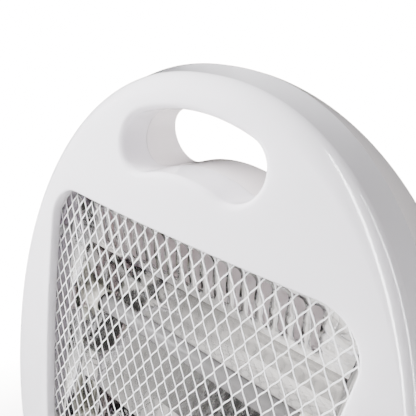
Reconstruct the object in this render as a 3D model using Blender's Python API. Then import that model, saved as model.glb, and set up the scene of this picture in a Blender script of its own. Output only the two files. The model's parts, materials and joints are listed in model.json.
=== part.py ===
"""Two-bar quartz heater, modelled piece by piece in Blender.

Lengths below are in millimetres and every mesh is scaled to metres when it is made.
X runs across the heater, -Y is its front, +Z is up, and the floor is at z = 0.
The functions measure y from the plane where the two shells meet, and every object is then
moved so that the frame's origin lies on the floor under the middle of the base.
"""
import math

import bmesh
import bpy
from mathutils import Matrix, Vector
from mathutils.geometry import area_tri, delaunay_2d_cdt

MM = 0.001
GAP = 0.3                 # clearance between pieces that only touch
RUNNING = 0.4             # clearance round pieces that move

# Body outline, a rounded oval cut flat at the foot
BODY_HEIGHT = 356.5       # floor to the top of the shells
BODY_HALF_WIDTH = 122.8   # where the shells meet
BODY_LOWEST = 0.9         # where the oval would close if it weren't cut at the foot
BODY_POWER = 2.2
FLARE_SIDE = 5.7          # how far the sides spread from the front edge to the meeting plane
FLARE_TOP = 8.6
EDGE_POWER = 2.23
BODY_FOOT = 28.0          # height of the flat cut, just above the base
WALL = 2.4
EDGE_ROUND = 3.0          # depth of the rounded front edge
EDGE_SHARE = 0.42         # how much of the flare the rounded edge takes
RIM = 1.5                 # least depth of the front shell's side wall

# Front face, bowed both ways
FACE_FRONT = -22.2
FACE_FALL_SIDE = 7.878    # how far it falls back from its middle to its sides
FACE_FALL_FOOT = 14.64    # how far it falls back from its crest to its foot
FACE_CREST = 122.5        # how far below the top the face stands furthest forward

# Back, upright below and sloping forward to the handle
BACK_DEPTH = 53.7
BACK_TOP_DEPTH = 12.0
BACK_SLOPE = 0.431
BACK_BLEND = 6.0
BACK_ROUND = 8.0

# Window in the front face and its lip
TOP_BORDER = 73.7
SIDE_BORDER = 27.2
CONTROL_HEIGHT = 68.0     # below the window, where the switches are
WINDOW_TAPER = 0.0936     # how much narrower each side gets per length down
WINDOW_RADIUS = 19.5
WINDOW_EDGE = 1.2         # rounding of the lip's front edge
LIP_DEPTH = 5.8
LIP_WALL = 2.4

# Carrying handle, an arched slot right through the body
GRIP = 20.7               # height of the bar above the slot
HANDLE_ARC_RADIUS = 78.0
HANDLE_HALF_SPAN = 25.2
HANDLE_HALF_SLOT = 13.4
HANDLE_LIP = 3.0
HANDLE_BACK_LIP = 4.0
HANDLE_RISE = 5.5         # how much higher the slot is at the back than in front
HANDLE_SPREAD = 7.0       # how much longer it is there at each end
HANDLE_SEAM_SHARE = 0.45  # the part of both that it has where the shells meet

# Guard, a bowed expanded-metal sheet trapped behind the lip
GUARD_THICKNESS = 0.8
GUARD_MARGIN = 4.0
GUARD_PITCH_X = 14.0
GUARD_PITCH_Z = 25.4
GUARD_STRAND = 1.1

# Reflector with its end plates
REFLECTOR_SETBACK = 16.7  # its flanges behind the crest of the face
SHEET = 0.8
PLATE_INSET = 4.3         # end plates inside the window's sides
PLATE_FOLD = 3.0          # how far they reach past the troughs
FLANGE_WIDTH = 19.0
FLANGE_SHOULDER = 20.0    # the end flange's cut-off upper corner
NOTCH_REACH = 2.4         # how far the cutter for a notch stands out of its end plate
TOP_FLANGE = 14.0
BOTTOM_FLANGE = 11.0
PANEL_DROP = 5.2          # window top to the top of the vented panel
PANEL_DEPTH = 11.7        # how far back the vented panel slopes
TROUGH_DEPTH = 20.6
TROUGH_HALF = 33.4
TROUGH_STEPS = 10
SHELF_DROP = 1.0          # how much the bottom shelf falls towards the front
SLOT_PITCH = 7.65
SLOT_DROP = 2.3           # below the panel's top
SLOT_RISE = 5.2           # above the panel's bottom
SLOT_END = 12.0           # least distance from the last slot's centre to the end plate
SLOT_TOP_RADIUS = 2.6
SLOT_BOTTOM_RADIUS = 1.9

# Quartz tubes and their ends
UPPER_TUBE_DROP = 68.8    # below the window's top
LOWER_TUBE_RISE = 31.5    # above the window's bottom
TUBE_SETBACK = 14.8       # behind the reflector's flanges
TUBE_RADIUS = 5.0
TUBE_BORE = 3.6
CAP_RADIUS = 6.8
CAP_INSIDE = 14.0         # how far a cap stands inside its end plate
CAP_OUTSIDE = 5.0
CAP_GRIP = 13.0           # how far a tube sits in its cap
CAP_CHAMFER = 0.7
COIL_RADIUS = 3.2
COIL_END = 1.0            # from the tube's end to the coil
PIN_RADIUS = 0.9
PIN_LENGTH = 6.0          # beyond the cap

# Leads inside the body
WIRE_RADIUS = 1.3
WIRE_STEP = 9.0
WIRE_START = 3.0          # straight run at each end
WIRE_PAST_TUBE = 13.0     # how far the common lead runs straight past the lower tube's end
SWITCH_TAB_X = 3.0        # terminal tabs from the middle of a housing's back
SWITCH_TAB_Z = 5.0

# Screws and bosses
SCREW_RADIUS = 1.6
SCREW_HEAD_RADIUS = 3.2
SCREW_HEAD_HEIGHT = 2.0
SCREW_LENGTH = 14.0
BOSS_RADIUS = 5.0
SMALL_BOSS_RADIUS = 3.6
WELL_FLOOR = 4.0
TOP_SCREW_DROP = 42.0     # height below the top, and distance inside the edge
TOP_SCREW_INSET = 20.5
SIDE_SCREW_INSET = 11.0
LOW_SCREW_RISE = 24.0
LOW_SCREW_INSET = 18.0
FLANGE_SCREW_OUT = 14.3   # outside the end plate
FLANGE_SCREW_DROP = 32.0  # below the window's top
FLANGE_SCREW_RISE = 30.0  # above the window's bottom

# Rocker switches
SWITCH_SPACING = 44.0
SWITCH_RISE = 32.0        # above the foot of the body
SWITCH_HALF_WIDTH = 6.5
SWITCH_HALF_TALL = 10.0
SWITCH_DEPTH = 18.0
SWITCH_WALL = 1.0
SWITCH_SEAT = 0.5         # bezel off the middle of its bowed seat
SWITCH_LEAN_ROOM = 0.5    # extra room up and down, because the housing leans in its hole
BEZEL_BORDER = 1.6
BEZEL_THICKNESS = 1.5
ROCKER_RADIUS = 7.0
ROCKER_PROUD = 0.7        # its ends stand in front of the bezel
ROCKER_HOLLOW = 1.0       # its middle lies below its ends
ROCKER_PIVOT_DEPTH = 1.5
ROCKER_HALF_TRAVEL = 8.0  # degrees each side of level
POCKET_ROOM = 1.6

# Terminal block and cord gland
BLOCK_WIDTH = 30.0
BLOCK_DEPTH = 11.0
BLOCK_TALL = 16.0
BLOCK_RISE = 34.0         # above the foot of the body
BLOCK_WAY = 10.0
BLOCK_HOLE_RADIUS = 2.6
BLOCK_HOLE_DEPTH = 6.0
GLAND_RISE = 18.0         # above the foot of the body
GLAND_RADIUS = 5.0
GLAND_BORE = 3.2
GLAND_FLANGE = 7.5
GLAND_FLANGE_DEPTH = 2.4
GLAND_INSIDE = 6.0
GLAND_OUTSIDE = 13.0
GLAND_LIP = 1.2           # wall thickness at its outer end

# Heat shield and thermal cut-out
SHIELD_HALF_WIDTH = 60.0
SHIELD_MARGIN = 26.0      # beyond the tubes' heights
CUTOUT_FLANGE = 11.5
CUTOUT_FLANGE_DEPTH = 1.2
CUTOUT_RADIUS = 8.0
CUTOUT_DEPTH = 8.3

# Louvres in the back
LOUVRE_ROWS = 6
LOUVRE_PITCH = 15.0
LOUVRE_RISE = 100.0       # lowest row above the foot of the body
LOUVRE_HALF_LENGTH = 30.0
LOUVRE_HALF_GAP = 2.2
LOUVRE_BANK = 36.0        # from the middle of the back to the middle of a louvre

# Base
BASE_CENTRE_Y = 16.0
BASE_HALF_WIDTH = 112.0
BASE_HALF_DEPTH = 63.0
BASE_POWER = 2.6
BASE_SHRINK_X = 14.0      # how much smaller the top is at each side
BASE_SHRINK_Y = 11.0
BASE_BOTTOM = 3.0
BASE_SKIRT = 6.0
BASE_WALL = 2.6
PLATE_THICKNESS = 2.4
PLATE_RAISE = 1.0         # how far the bottom plate sits up inside the rim
FOOT_RADIUS = 8.0
FOOT_CHAMFER = 0.8
FOOT_INSET_X = 28.0
FOOT_INSET_Y = 33.0
BASE_SCREW_INSET_X = 50.0
BASE_SCREW_INSET_Y = 33.0
BODY_SCREW_X = 48.0

# Tip-over switch
TIP_BACK = 18.0           # behind the middle of the base
TIP_HALF_WIDTH = 10.0
TIP_HALF_DEPTH = 6.0
TIP_TALL = 13.0
TIP_FLOOR = 2.0
TIP_ROOF = 2.0
TIP_PLUNGER_RADIUS = 3.0
TIP_CHAMFER = 1.0
TIP_COLLAR_RADIUS = 4.2
TIP_COLLAR = 2.0
TIP_TRAVEL = 4.0
TIP_LIFT = 0.2            # how far its pressed plunger stays off the floor
TIP_WIRE_X = -5.0
TIP_WIRE_HOLE = 2.5

# Worked out from the sizes above
BODY_HALF_HEIGHT = (BODY_HEIGHT - BODY_LOWEST) / 2.0
BODY_CENTRE = BODY_HEIGHT - BODY_HALF_HEIGHT
EDGE_HALF_WIDTH = BODY_HALF_WIDTH - FLARE_SIDE
EDGE_HALF_HEIGHT = BODY_HALF_HEIGHT - FLARE_TOP
FACE_BOW_HEIGHT = BODY_HEIGHT - FACE_CREST
FACE_RADIUS_X = EDGE_HALF_WIDTH ** 2 / (2.0 * FACE_FALL_SIDE)
FACE_RADIUS_Z = (FACE_BOW_HEIGHT - BODY_FOOT) ** 2 / (2.0 * FACE_FALL_FOOT)
WINDOW_TOP = BODY_HEIGHT - TOP_BORDER
WINDOW_BOTTOM = BODY_FOOT + CONTROL_HEIGHT
WINDOW_TOP_HALF = EDGE_HALF_WIDTH - SIDE_BORDER
HANDLE_ARC_CENTRE = BODY_HEIGHT - GRIP - HANDLE_HALF_SLOT - HANDLE_ARC_RADIUS
REFLECTOR_FACE = FACE_FRONT + REFLECTOR_SETBACK
PANEL_TOP = WINDOW_TOP - PANEL_DROP
TROUGH_FRONT = REFLECTOR_FACE + PANEL_DEPTH
TROUGH_BACK = TROUGH_FRONT + TROUGH_DEPTH
TUBE_Y = REFLECTOR_FACE + TUBE_SETBACK
TUBE_HEIGHTS = {"upper": WINDOW_TOP - UPPER_TUBE_DROP, "lower": WINDOW_BOTTOM + LOWER_TUBE_RISE}
PANEL_BOTTOM = TUBE_HEIGHTS["upper"] + TROUGH_HALF
SHELF_BACK = TUBE_HEIGHTS["lower"] - TROUGH_HALF
SHELF_FRONT = SHELF_BACK - SHELF_DROP
SLOT_TOP = PANEL_TOP - SLOT_DROP
SLOT_BOTTOM = PANEL_BOTTOM + SLOT_RISE
SHIELD_FRONT = TROUGH_BACK + SHEET + GAP
CUTOUT_SEAT = SHIELD_FRONT + SHEET + GAP
CUTOUT_HEIGHT = (TUBE_HEIGHTS["upper"] + TUBE_HEIGHTS["lower"]) / 2.0
SWITCH_HEIGHT = BODY_FOOT + SWITCH_RISE
SWITCH_LEAN = math.atan((FACE_BOW_HEIGHT - SWITCH_HEIGHT) / FACE_RADIUS_Z)
BLOCK_BOTTOM = BODY_FOOT + BLOCK_RISE
GLAND_HEIGHT = BODY_FOOT + GLAND_RISE
BASE_TOP = BODY_FOOT - GAP
BASE_FLOOR = BASE_BOTTOM + PLATE_RAISE + PLATE_THICKNESS + GAP
TIP_Y = BASE_CENTRE_Y + TIP_BACK
OUTLINE_STEPS = 50          # points round the body's outline
SKIN_SPACING = 21.0         # between the points inside a skin
SIDES = (("left", -1.0), ("right", 1.0))

FINISHES = {
    "white_plastic": ((0.84, 0.83, 0.85), 0.25, 0.0),
    "guard_enamel": ((0.82, 0.82, 0.82), 0.4, 0.0),
    "polished_aluminium": ((0.88, 0.87, 0.86), 0.12, 1.0),
    "milky_quartz": ((0.72, 0.71, 0.72), 0.35, 0.0),
    "cream_ceramic": ((0.84, 0.82, 0.74), 0.55, 0.0),
    "black_plastic": ((0.03, 0.03, 0.03), 0.45, 0.0),
    "steel": ((0.6, 0.6, 0.6), 0.35, 1.0),
    "galvanised_steel": ((0.55, 0.55, 0.56), 0.45, 1.0),
    "black_rubber": ((0.02, 0.02, 0.02), 0.8, 0.0),
    "resistance_wire": ((0.3, 0.27, 0.24), 0.5, 1.0),
    "glass_braid": ((0.8, 0.78, 0.7), 0.7, 0.0),
}


def new_material(name, finish):
    """A piece's own material, from one of the finishes."""
    colour, roughness, metallic = FINISHES[finish]
    made = bpy.data.materials.new(name + "_" + finish)
    made.use_nodes = True
    shader = made.node_tree.nodes["Principled BSDF"]
    shader.inputs["Base Color"].default_value = (*colour, 1.0)
    shader.inputs["Roughness"].default_value = roughness
    shader.inputs["Metallic"].default_value = metallic
    made.diffuse_color = (*colour, 1.0)
    return made


def place_object(name, data, finish, origin, lean=0.0):
    """Puts the object in the scene, with its origin given from the meeting plane."""
    made = bpy.data.objects.new(name, data)
    made.location = (Vector(origin) - Vector((0.0, BASE_CENTRE_Y, 0.0))) * MM
    made.rotation_euler = (lean, 0.0, 0.0)
    bpy.context.scene.collection.objects.link(made)
    if finish:
        data.materials.append(new_material(name, finish))
    return made


def finish_piece(name, bm, finish, origin=(0.0, 0.0, 0.0), lean=0.0):
    """Makes the object from bm, whose points are in millimetres about origin, leaning about X."""
    bmesh.ops.recalc_face_normals(bm, faces=bm.faces)
    bmesh.ops.scale(bm, vec=(MM, MM, MM), verts=bm.verts)
    mesh = bpy.data.meshes.new(name)
    bm.to_mesh(mesh)
    bm.free()
    mesh.shade_smooth()
    mesh.set_sharp_from_angle(angle=math.radians(35.0))
    return place_object(name, mesh, finish, origin, lean)


def combine(piece, operation, name, bm, origin=(0.0, 0.0, 0.0), lean=0.0):
    """Adds the solids in bm to a piece, or cuts them from it."""
    tool = finish_piece(name, bm, None, origin, lean)
    tool.hide_render = True
    tool.display_type = "WIRE"
    change = piece.modifiers.new(name, "BOOLEAN")
    change.operation = operation
    change.solver = "EXACT"
    change.object = tool


def bridge(bm, loops, closed_ends=False):
    """Faces between successive loops of equal length, capped at both ends if asked."""
    for near, far in zip(loops[:-1], loops[1:]):
        for i in range(len(near)):
            j = (i + 1) % len(near)
            bm.faces.new((near[i], near[j], far[j], far[i]))
    if closed_ends:
        bm.faces.new(loops[0])
        bm.faces.new(list(reversed(loops[-1])))


def add_prism(bm, loop, direction):
    """A prism from a closed loop of points along a vector."""
    near = [bm.verts.new(p) for p in loop]
    far = [bm.verts.new(Vector(p) + Vector(direction)) for p in loop]
    bridge(bm, [near, far], closed_ends=True)


def add_cylinder(bm, start, end, radius, segments=12):
    """A cylinder between two points."""
    start = Vector(start)
    axis = Vector(end) - start
    turn = axis.to_track_quat("Z", "Y").to_matrix()
    loop = []
    for i in range(segments):
        angle = math.tau * i / segments
        loop.append(start + turn @ Vector((radius * math.cos(angle), radius * math.sin(angle), 0.0)))
    add_prism(bm, loop, axis)


def add_box(bm, low, high):
    """A box between two corners."""
    loop = [(low[0], low[1]), (high[0], low[1]), (high[0], high[1]), (low[0], high[1])]
    add_prism(bm, [(x, y, low[2]) for x, y in loop], (0.0, 0.0, high[2] - low[2]))


def add_turned(bm, profile, axis, start=(0.0, 0.0, 0.0), segments=24):
    """A solid or a ring turned from (radius, distance) points about an axis through start."""
    frame = Vector(axis).to_track_quat("Z", "Y").to_matrix()
    loops = []
    for radius, distance in profile:
        count = segments if radius else 1
        ring = []
        for i in range(count):
            angle = math.tau * i / segments
            point = Vector((radius * math.cos(angle), radius * math.sin(angle), distance))
            ring.append(bm.verts.new(Vector(start) + frame @ point))
        loops.append(ring)
    if len(loops[0]) > 1:
        loops.append(loops[0])
    for near, far in zip(loops[:-1], loops[1:]):
        for i in range(segments):
            j = (i + 1) % segments
            if len(near) == 1:
                bm.faces.new((near[0], far[i], far[j]))
            elif len(far) == 1:
                bm.faces.new((near[i], near[j], far[0]))
            else:
                bm.faces.new((near[i], near[j], far[j], far[i]))


def add_stepped(bm, steps, axis, start, segments=12):
    """A stepped cylinder: each step is (radius, from, to) along an axis through start."""
    profile = [(0.0, steps[0][1])]
    for radius, begin, end in steps:
        profile += [(radius, begin), (radius, end)]
    add_turned(bm, profile + [(0.0, steps[-1][2])], axis, start, segments)


def lathe(name, profile, axis, origin, finish, segments=24):
    """A turned piece whose axis passes through origin."""
    bm = bmesh.new()
    add_turned(bm, profile, axis, segments=segments)
    return finish_piece(name, bm, finish, origin)


def inside(x, z, loop):
    """Whether (x, z) lies inside a closed loop of points."""
    found = False
    for a, b in zip(loop, loop[1:] + loop[:1]):
        if (a[2] > z) != (b[2] > z) and x < a[0] + (z - a[2]) * (b[0] - a[0]) / (b[2] - a[2]):
            found = not found
    return found


def skin_points(loops, rim, spacing):
    """Points inside the sheet, spaced evenly and kept off its rims."""
    xs = [p[0] for p in loops[0]]
    zs = [p[2] for p in loops[0]]
    points = []
    for row in range(int((max(zs) - min(zs)) / spacing) + 1):
        for column in range(int((max(xs) - min(xs)) / spacing) + 1):
            x = min(xs) + spacing * (column + 0.5 + 0.5 * (row % 2))
            z = min(zs) + spacing * (row + 0.5)
            if not inside(x, z, loops[0]) or any(inside(x, z, hole) for hole in loops[1:]):
                continue
            if min((p - Vector((x, z))).length for p in rim) > 0.6 * spacing:
                points.append(Vector((x, z)))
    return points


def fill_skin(bm, rings, depth_of, spacing):
    """Triangulates the sheet inside rings[0] and outside the others, its points on depth_of(x, z)."""
    loops = [[tuple(v.co) for v in ring] for ring in rings]
    known = [v for ring in rings for v in ring]
    rim = [Vector((v.co.x, v.co.z)) for v in known]
    points = rim + (skin_points(loops, rim, spacing) if spacing else [])
    edges = []
    start = 0
    for ring in rings:
        count = len(ring)
        edges += [(start + i, start + (i + 1) % count) for i in range(count)]
        start += count
    flat, _, faces, sources, _, _ = delaunay_2d_cdt(points, edges, [], 0, 1e-7)
    verts = []
    for place, source in zip(flat, sources):
        if source and source[0] < len(known):
            verts.append(known[source[0]])
        else:
            verts.append(bm.verts.new((place.x, depth_of(place.x, place.y), place.y)))
    for face in faces:
        if area_tri(*[flat[i] for i in face]) < 1e-5:
            continue
        x = sum(flat[i].x for i in face) / 3.0
        z = sum(flat[i].y for i in face) / 3.0
        if inside(x, z, loops[0]) and not any(inside(x, z, hole) for hole in loops[1:]):
            bm.faces.new([verts[i] for i in face])


def make_shell(name, edge, holes, front, back, spacing, finish):
    """A closed shell. Each chain of loops runs from the front skin over an edge to the back skin."""
    bm = bmesh.new()
    chains = [[[bm.verts.new(p) for p in loop] for loop in chain] for chain in [edge] + holes]
    for chain in chains:
        bridge(bm, chain)
    fill_skin(bm, [chain[0] for chain in chains], front, spacing)
    fill_skin(bm, [chain[-1] for chain in chains], back, spacing)
    return finish_piece(name, bm, finish)


def face_y(x, z):
    """Depth of the bowed front face."""
    return FACE_FRONT + x * x / (2.0 * FACE_RADIUS_X) + (z - FACE_BOW_HEIGHT) ** 2 / (2.0 * FACE_RADIUS_Z)


def guard_y(x, z):
    """Depth of the middle of the guard, which follows the face."""
    return face_y(x, z) + LIP_DEPTH


def back_y(x, z):
    """Depth of the back: an upright part blended into a slope that rises to the handle."""
    sloped = BACK_TOP_DEPTH + (BODY_HEIGHT - z) * BACK_SLOPE
    blend = BACK_BLEND
    return -blend * math.log(math.exp(-sloped / blend) + math.exp(-BACK_DEPTH / blend))


def behind(depth_of, amount):
    """The same surface moved back."""
    return lambda x, z: depth_of(x, z) + amount


def no_deeper(depth_of, limit):
    """The same surface, stopped at a depth."""
    return lambda x, z: min(depth_of(x, z), limit)


def level(y):
    """A flat surface."""
    return lambda x, z: y


def body_loop(flare, inset, depth_of):
    """The body outline. flare is 0 at the front edge and 1 where the shells meet."""
    half_width = EDGE_HALF_WIDTH + FLARE_SIDE * flare - inset
    half_height = EDGE_HALF_HEIGHT + FLARE_TOP * flare - inset
    power = EDGE_POWER + (BODY_POWER - EDGE_POWER) * flare
    foot = BODY_FOOT + (1.0 - flare) * EDGE_ROUND + inset
    start = -math.asin(((BODY_CENTRE - foot) / half_height) ** (power / 2.0))
    points = []
    for i in range(OUTLINE_STEPS + 1):
        angle = start + (math.pi - 2.0 * start) * i / OUTLINE_STEPS
        cosine = math.cos(angle)
        sine = math.sin(angle)
        x = half_width * math.copysign(abs(cosine) ** (2.0 / power), cosine)
        z = BODY_CENTRE + half_height * math.copysign(abs(sine) ** (2.0 / power), sine)
        points.append((x, z))
    left = points[-1][0]
    steps = OUTLINE_STEPS // 8
    points += [(left * (1.0 - 2.0 * i / steps), foot) for i in range(1, steps)]
    return [(x, depth_of(x, z), z) for x, z in points]


def edge_half(z):
    """Half the width of the front edge's outline at a height."""
    share = abs((z - BODY_CENTRE) / EDGE_HALF_HEIGHT) ** EDGE_POWER
    return EDGE_HALF_WIDTH * (1.0 - share) ** (1.0 / EDGE_POWER)


def window_half(z):
    """Half the window's width at a height."""
    return WINDOW_TOP_HALF - WINDOW_TAPER * (WINDOW_TOP - z)


def plate_half(z):
    """Half the distance between the reflector's end plates at a height."""
    return window_half(z) - PLATE_INSET


def window_loop(margin, depth_of):
    """The window outline grown by margin, a tapered rectangle with round corners."""
    radius = WINDOW_RADIUS + margin
    top = WINDOW_TOP + margin - radius
    bottom = WINDOW_BOTTOM - margin + radius
    top_half = window_half(top) + margin - radius
    bottom_half = window_half(bottom) + margin - radius
    centres = [(top_half, top), (-top_half, top), (-bottom_half, bottom), (bottom_half, bottom)]
    points = []
    for k, (x, z) in enumerate(centres):
        for i in range(6):
            angle = math.radians(90.0 * k + 18.0 * i)
            points.append((x + radius * math.cos(angle), z + radius * math.sin(angle)))
        following = centres[(k + 1) % 4]
        turn = math.radians(90.0 * (k + 1))
        end = (following[0] + radius * math.cos(turn), following[1] + radius * math.sin(turn))
        begin = points[-1]
        for i in range(1, 5):
            points.append((begin[0] + (end[0] - begin[0]) * i / 5, begin[1] + (end[1] - begin[1]) * i / 5))
    return [(x, depth_of(x, z), z) for x, z in points]


def handle_loop(margin, depth_of, share=0.0):
    """The arched handle slot grown by margin, from its shape in front to that at the back."""
    half = HANDLE_HALF_SLOT + margin
    half_span = HANDLE_HALF_SPAN + share * HANDLE_SPREAD
    centre_z = HANDLE_ARC_CENTRE + share * HANDLE_RISE
    span = math.asin(half_span / HANDLE_ARC_RADIUS)
    end_z = centre_z + HANDLE_ARC_RADIUS * math.cos(span)
    points = []
    for side, reach in ((1.0, HANDLE_ARC_RADIUS + half), (-1.0, HANDLE_ARC_RADIUS - half)):
        for i in range(9):
            angle = side * span * (1.0 - i / 4.0)
            points.append((reach * math.sin(angle), centre_z + reach * math.cos(angle)))
        begin = math.pi / 2.0 + span if side > 0.0 else -math.pi / 2.0 - span
        for i in range(1, 8):
            angle = begin + math.pi * i / 8
            x = -side * half_span + half * math.cos(angle)
            points.append((x, end_z + half * math.sin(angle)))
    return [(x, depth_of(x, z), z) for x, z in points]


def rectangle_loop(x, z, half_x, half_z, depth_of):
    """A rectangle round (x, z)."""
    points = []
    for side_x, side_z in ((1.0, 1.0), (-1.0, 1.0), (-1.0, -1.0), (1.0, -1.0)):
        points.append((x + side_x * half_x, z + side_z * half_z))
    return [(px, depth_of(px, pz), pz) for px, pz in points]


def louvre_loop(x, z, depth_of):
    """A slot with round ends, lying across."""
    straight = LOUVRE_HALF_LENGTH - LOUVRE_HALF_GAP
    points = []
    for side in (1.0, -1.0):
        for i in range(4):
            angle = math.radians(-90.0 + 60.0 * i)
            points.append((
                x + side * (straight + LOUVRE_HALF_GAP * math.cos(angle)),
                z + side * LOUVRE_HALF_GAP * math.sin(angle),
            ))
    return [(px, depth_of(px, pz), pz) for px, pz in points]


def switch_places():
    """(side name, x) of each switch."""
    return [(name, side * SWITCH_SPACING / 2.0) for name, side in SIDES]


def switch_origin(x):
    """Where a switch's bezel sits in front of the face."""
    outward = Vector((0.0, -math.cos(SWITCH_LEAN), -math.sin(SWITCH_LEAN)))
    return Vector((x, face_y(x, SWITCH_HEIGHT), SWITCH_HEIGHT)) + outward * SWITCH_SEAT


def in_switch(x, local):
    """A point given in a switch's own leaning frame."""
    return switch_origin(x) + Matrix.Rotation(SWITCH_LEAN, 3, "X") @ Vector(local)


def shell_screws():
    """(x, z) of the screws that hold the shells together."""
    places = []
    for z, inset in (
        (BODY_HEIGHT - TOP_SCREW_DROP, TOP_SCREW_INSET),
        (BODY_CENTRE, SIDE_SCREW_INSET),
        (BODY_FOOT + LOW_SCREW_RISE, LOW_SCREW_INSET),
    ):
        places += [(side * (edge_half(z) - inset), z) for _, side in SIDES]
    return places


def shell_screw_tip(x, z):
    """Where a shell screw ends, short of the front face."""
    return max(WELL_FLOOR + GAP - SCREW_LENGTH, face_y(x, z) + WALL + 2.0 * GAP)


def flange_screws():
    """(x, z) of the screws that hold the reflector's end flanges."""
    heights = (WINDOW_TOP - FLANGE_SCREW_DROP, WINDOW_BOTTOM + FLANGE_SCREW_RISE)
    return [(side * (plate_half(z) + FLANGE_SCREW_OUT), z) for z in heights for _, side in SIDES]


def base_screws():
    """(x, y) of the screws that hold the bottom plate."""
    x = BASE_HALF_WIDTH - BASE_SCREW_INSET_X
    y = BASE_HALF_DEPTH - BASE_SCREW_INSET_Y
    return [(sx * x, BASE_CENTRE_Y + sy * y) for sx in (-1.0, 1.0) for sy in (-1.0, 1.0)]


def front_edge():
    """Loops over the front shell's outer edge, from its face to the inside of its face."""
    rim = -GAP / 2.0 - RIM
    chain = []
    for step in range(5):
        angle = math.radians(90.0 * step / 4)
        depth_of = no_deeper(behind(face_y, EDGE_ROUND * (1.0 - math.cos(angle))), rim)
        chain.append(body_loop(EDGE_SHARE * math.sin(angle), 0.0, depth_of))
    chain += [body_loop(1.0, 0.0, level(-GAP / 2.0)), body_loop(1.0, WALL, level(-GAP / 2.0))]
    chain.append(body_loop(EDGE_SHARE, WALL, no_deeper(behind(face_y, EDGE_ROUND + WALL), rim)))
    chain.append(body_loop(0.0, WALL, no_deeper(behind(face_y, WALL), rim)))
    return chain


def handle_front():
    """Loops from the face through the rounded lip to the end of the handle's front sleeve."""
    chain = []
    for step in range(4):
        angle = math.radians(30.0 * step)
        depth_of = behind(face_y, HANDLE_LIP * (1.0 - math.cos(angle)))
        chain.append(handle_loop(HANDLE_LIP * (1.0 - math.sin(angle)), depth_of))
    for margin in (0.0, WALL):
        chain.append(handle_loop(margin, level(-GAP / 2.0), HANDLE_SEAM_SHARE))
    chain.append(handle_loop(WALL + HANDLE_LIP, behind(face_y, WALL)))
    return chain


def handle_back():
    """Loops from the back through the rounded rim to the end of the handle's rear sleeve."""
    chain = []
    for step in range(4):
        angle = math.radians(30.0 * step)
        depth_of = behind(back_y, -HANDLE_BACK_LIP * (1.0 - math.cos(angle)))
        chain.append(handle_loop(HANDLE_BACK_LIP * (1.0 - math.sin(angle)), depth_of, 1.0))
    for margin in (0.0, WALL):
        chain.append(handle_loop(margin, level(GAP / 2.0), HANDLE_SEAM_SHARE))
    chain.append(handle_loop(WALL + HANDLE_BACK_LIP, behind(back_y, -WALL), 1.0))
    return chain


def window_chain():
    """Loops from the face round the window's edge and back along the outside of its lip."""
    lip_end = behind(guard_y, -GUARD_THICKNESS / 2.0 - GAP)
    chain = []
    for step in range(3):
        angle = math.radians(45.0 * step)
        depth_of = behind(face_y, WINDOW_EDGE * (1.0 - math.cos(angle)))
        chain.append(window_loop(WINDOW_EDGE * (1.0 - math.sin(angle)), depth_of))
    chain += [window_loop(0.0, lip_end), window_loop(LIP_WALL, lip_end)]
    chain.append(window_loop(LIP_WALL, behind(face_y, WALL)))
    return chain


def front_frame():
    """The front shell: bowed face, window lip, handle sleeve, switch holes and screw bosses."""
    holes = [window_chain(), handle_front()]
    half_x = SWITCH_HALF_WIDTH + GAP
    half_z = SWITCH_HALF_TALL + GAP + SWITCH_LEAN_ROOM
    skins = (face_y, behind(face_y, WALL))
    for _, x in switch_places():
        holes.append([rectangle_loop(x, SWITCH_HEIGHT, half_x, half_z, skin) for skin in skins])
    frame = make_shell("front_frame", front_edge(), holes, *skins, SKIN_SPACING, "white_plastic")
    bosses = bmesh.new()
    pilots = bmesh.new()
    pilot = SCREW_RADIUS + GAP
    for x, z in shell_screws():
        add_cylinder(bosses, (x, face_y(x, z) + 0.5 * WALL, z), (x, -1.5 * GAP, z), BOSS_RADIUS)
        add_cylinder(pilots, (x, shell_screw_tip(x, z) - GAP, z), (x, GAP, z), pilot, 8)
    for x, z in flange_screws():
        seat = (x, face_y(x, z) + 0.5 * WALL, z)
        add_cylinder(bosses, seat, (x, REFLECTOR_FACE - GAP, z), SMALL_BOSS_RADIUS)
        add_cylinder(pilots, (x, face_y(x, z) + WALL + GAP, z), (x, REFLECTOR_FACE, z), pilot, 8)
    combine(frame, "UNION", "front_boss_tool", bosses)
    combine(frame, "DIFFERENCE", "front_pilot_tool", pilots)


def rear_edge():
    """Loops over the rear shell's outer edge, from its back to the inside of its back."""
    chain = []
    for step in range(5):
        angle = math.radians(90.0 * step / 4)
        depth_of = behind(back_y, -BACK_ROUND * (1.0 - math.cos(angle)))
        chain.append(body_loop(1.0, BACK_ROUND * (1.0 - math.sin(angle)), depth_of))
    chain += [body_loop(1.0, 0.0, level(GAP / 2.0)), body_loop(1.0, WALL, level(GAP / 2.0))]
    chain.append(body_loop(1.0, WALL, behind(back_y, -BACK_ROUND)))
    chain.append(body_loop(1.0, BACK_ROUND, behind(back_y, -WALL)))
    return chain


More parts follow.
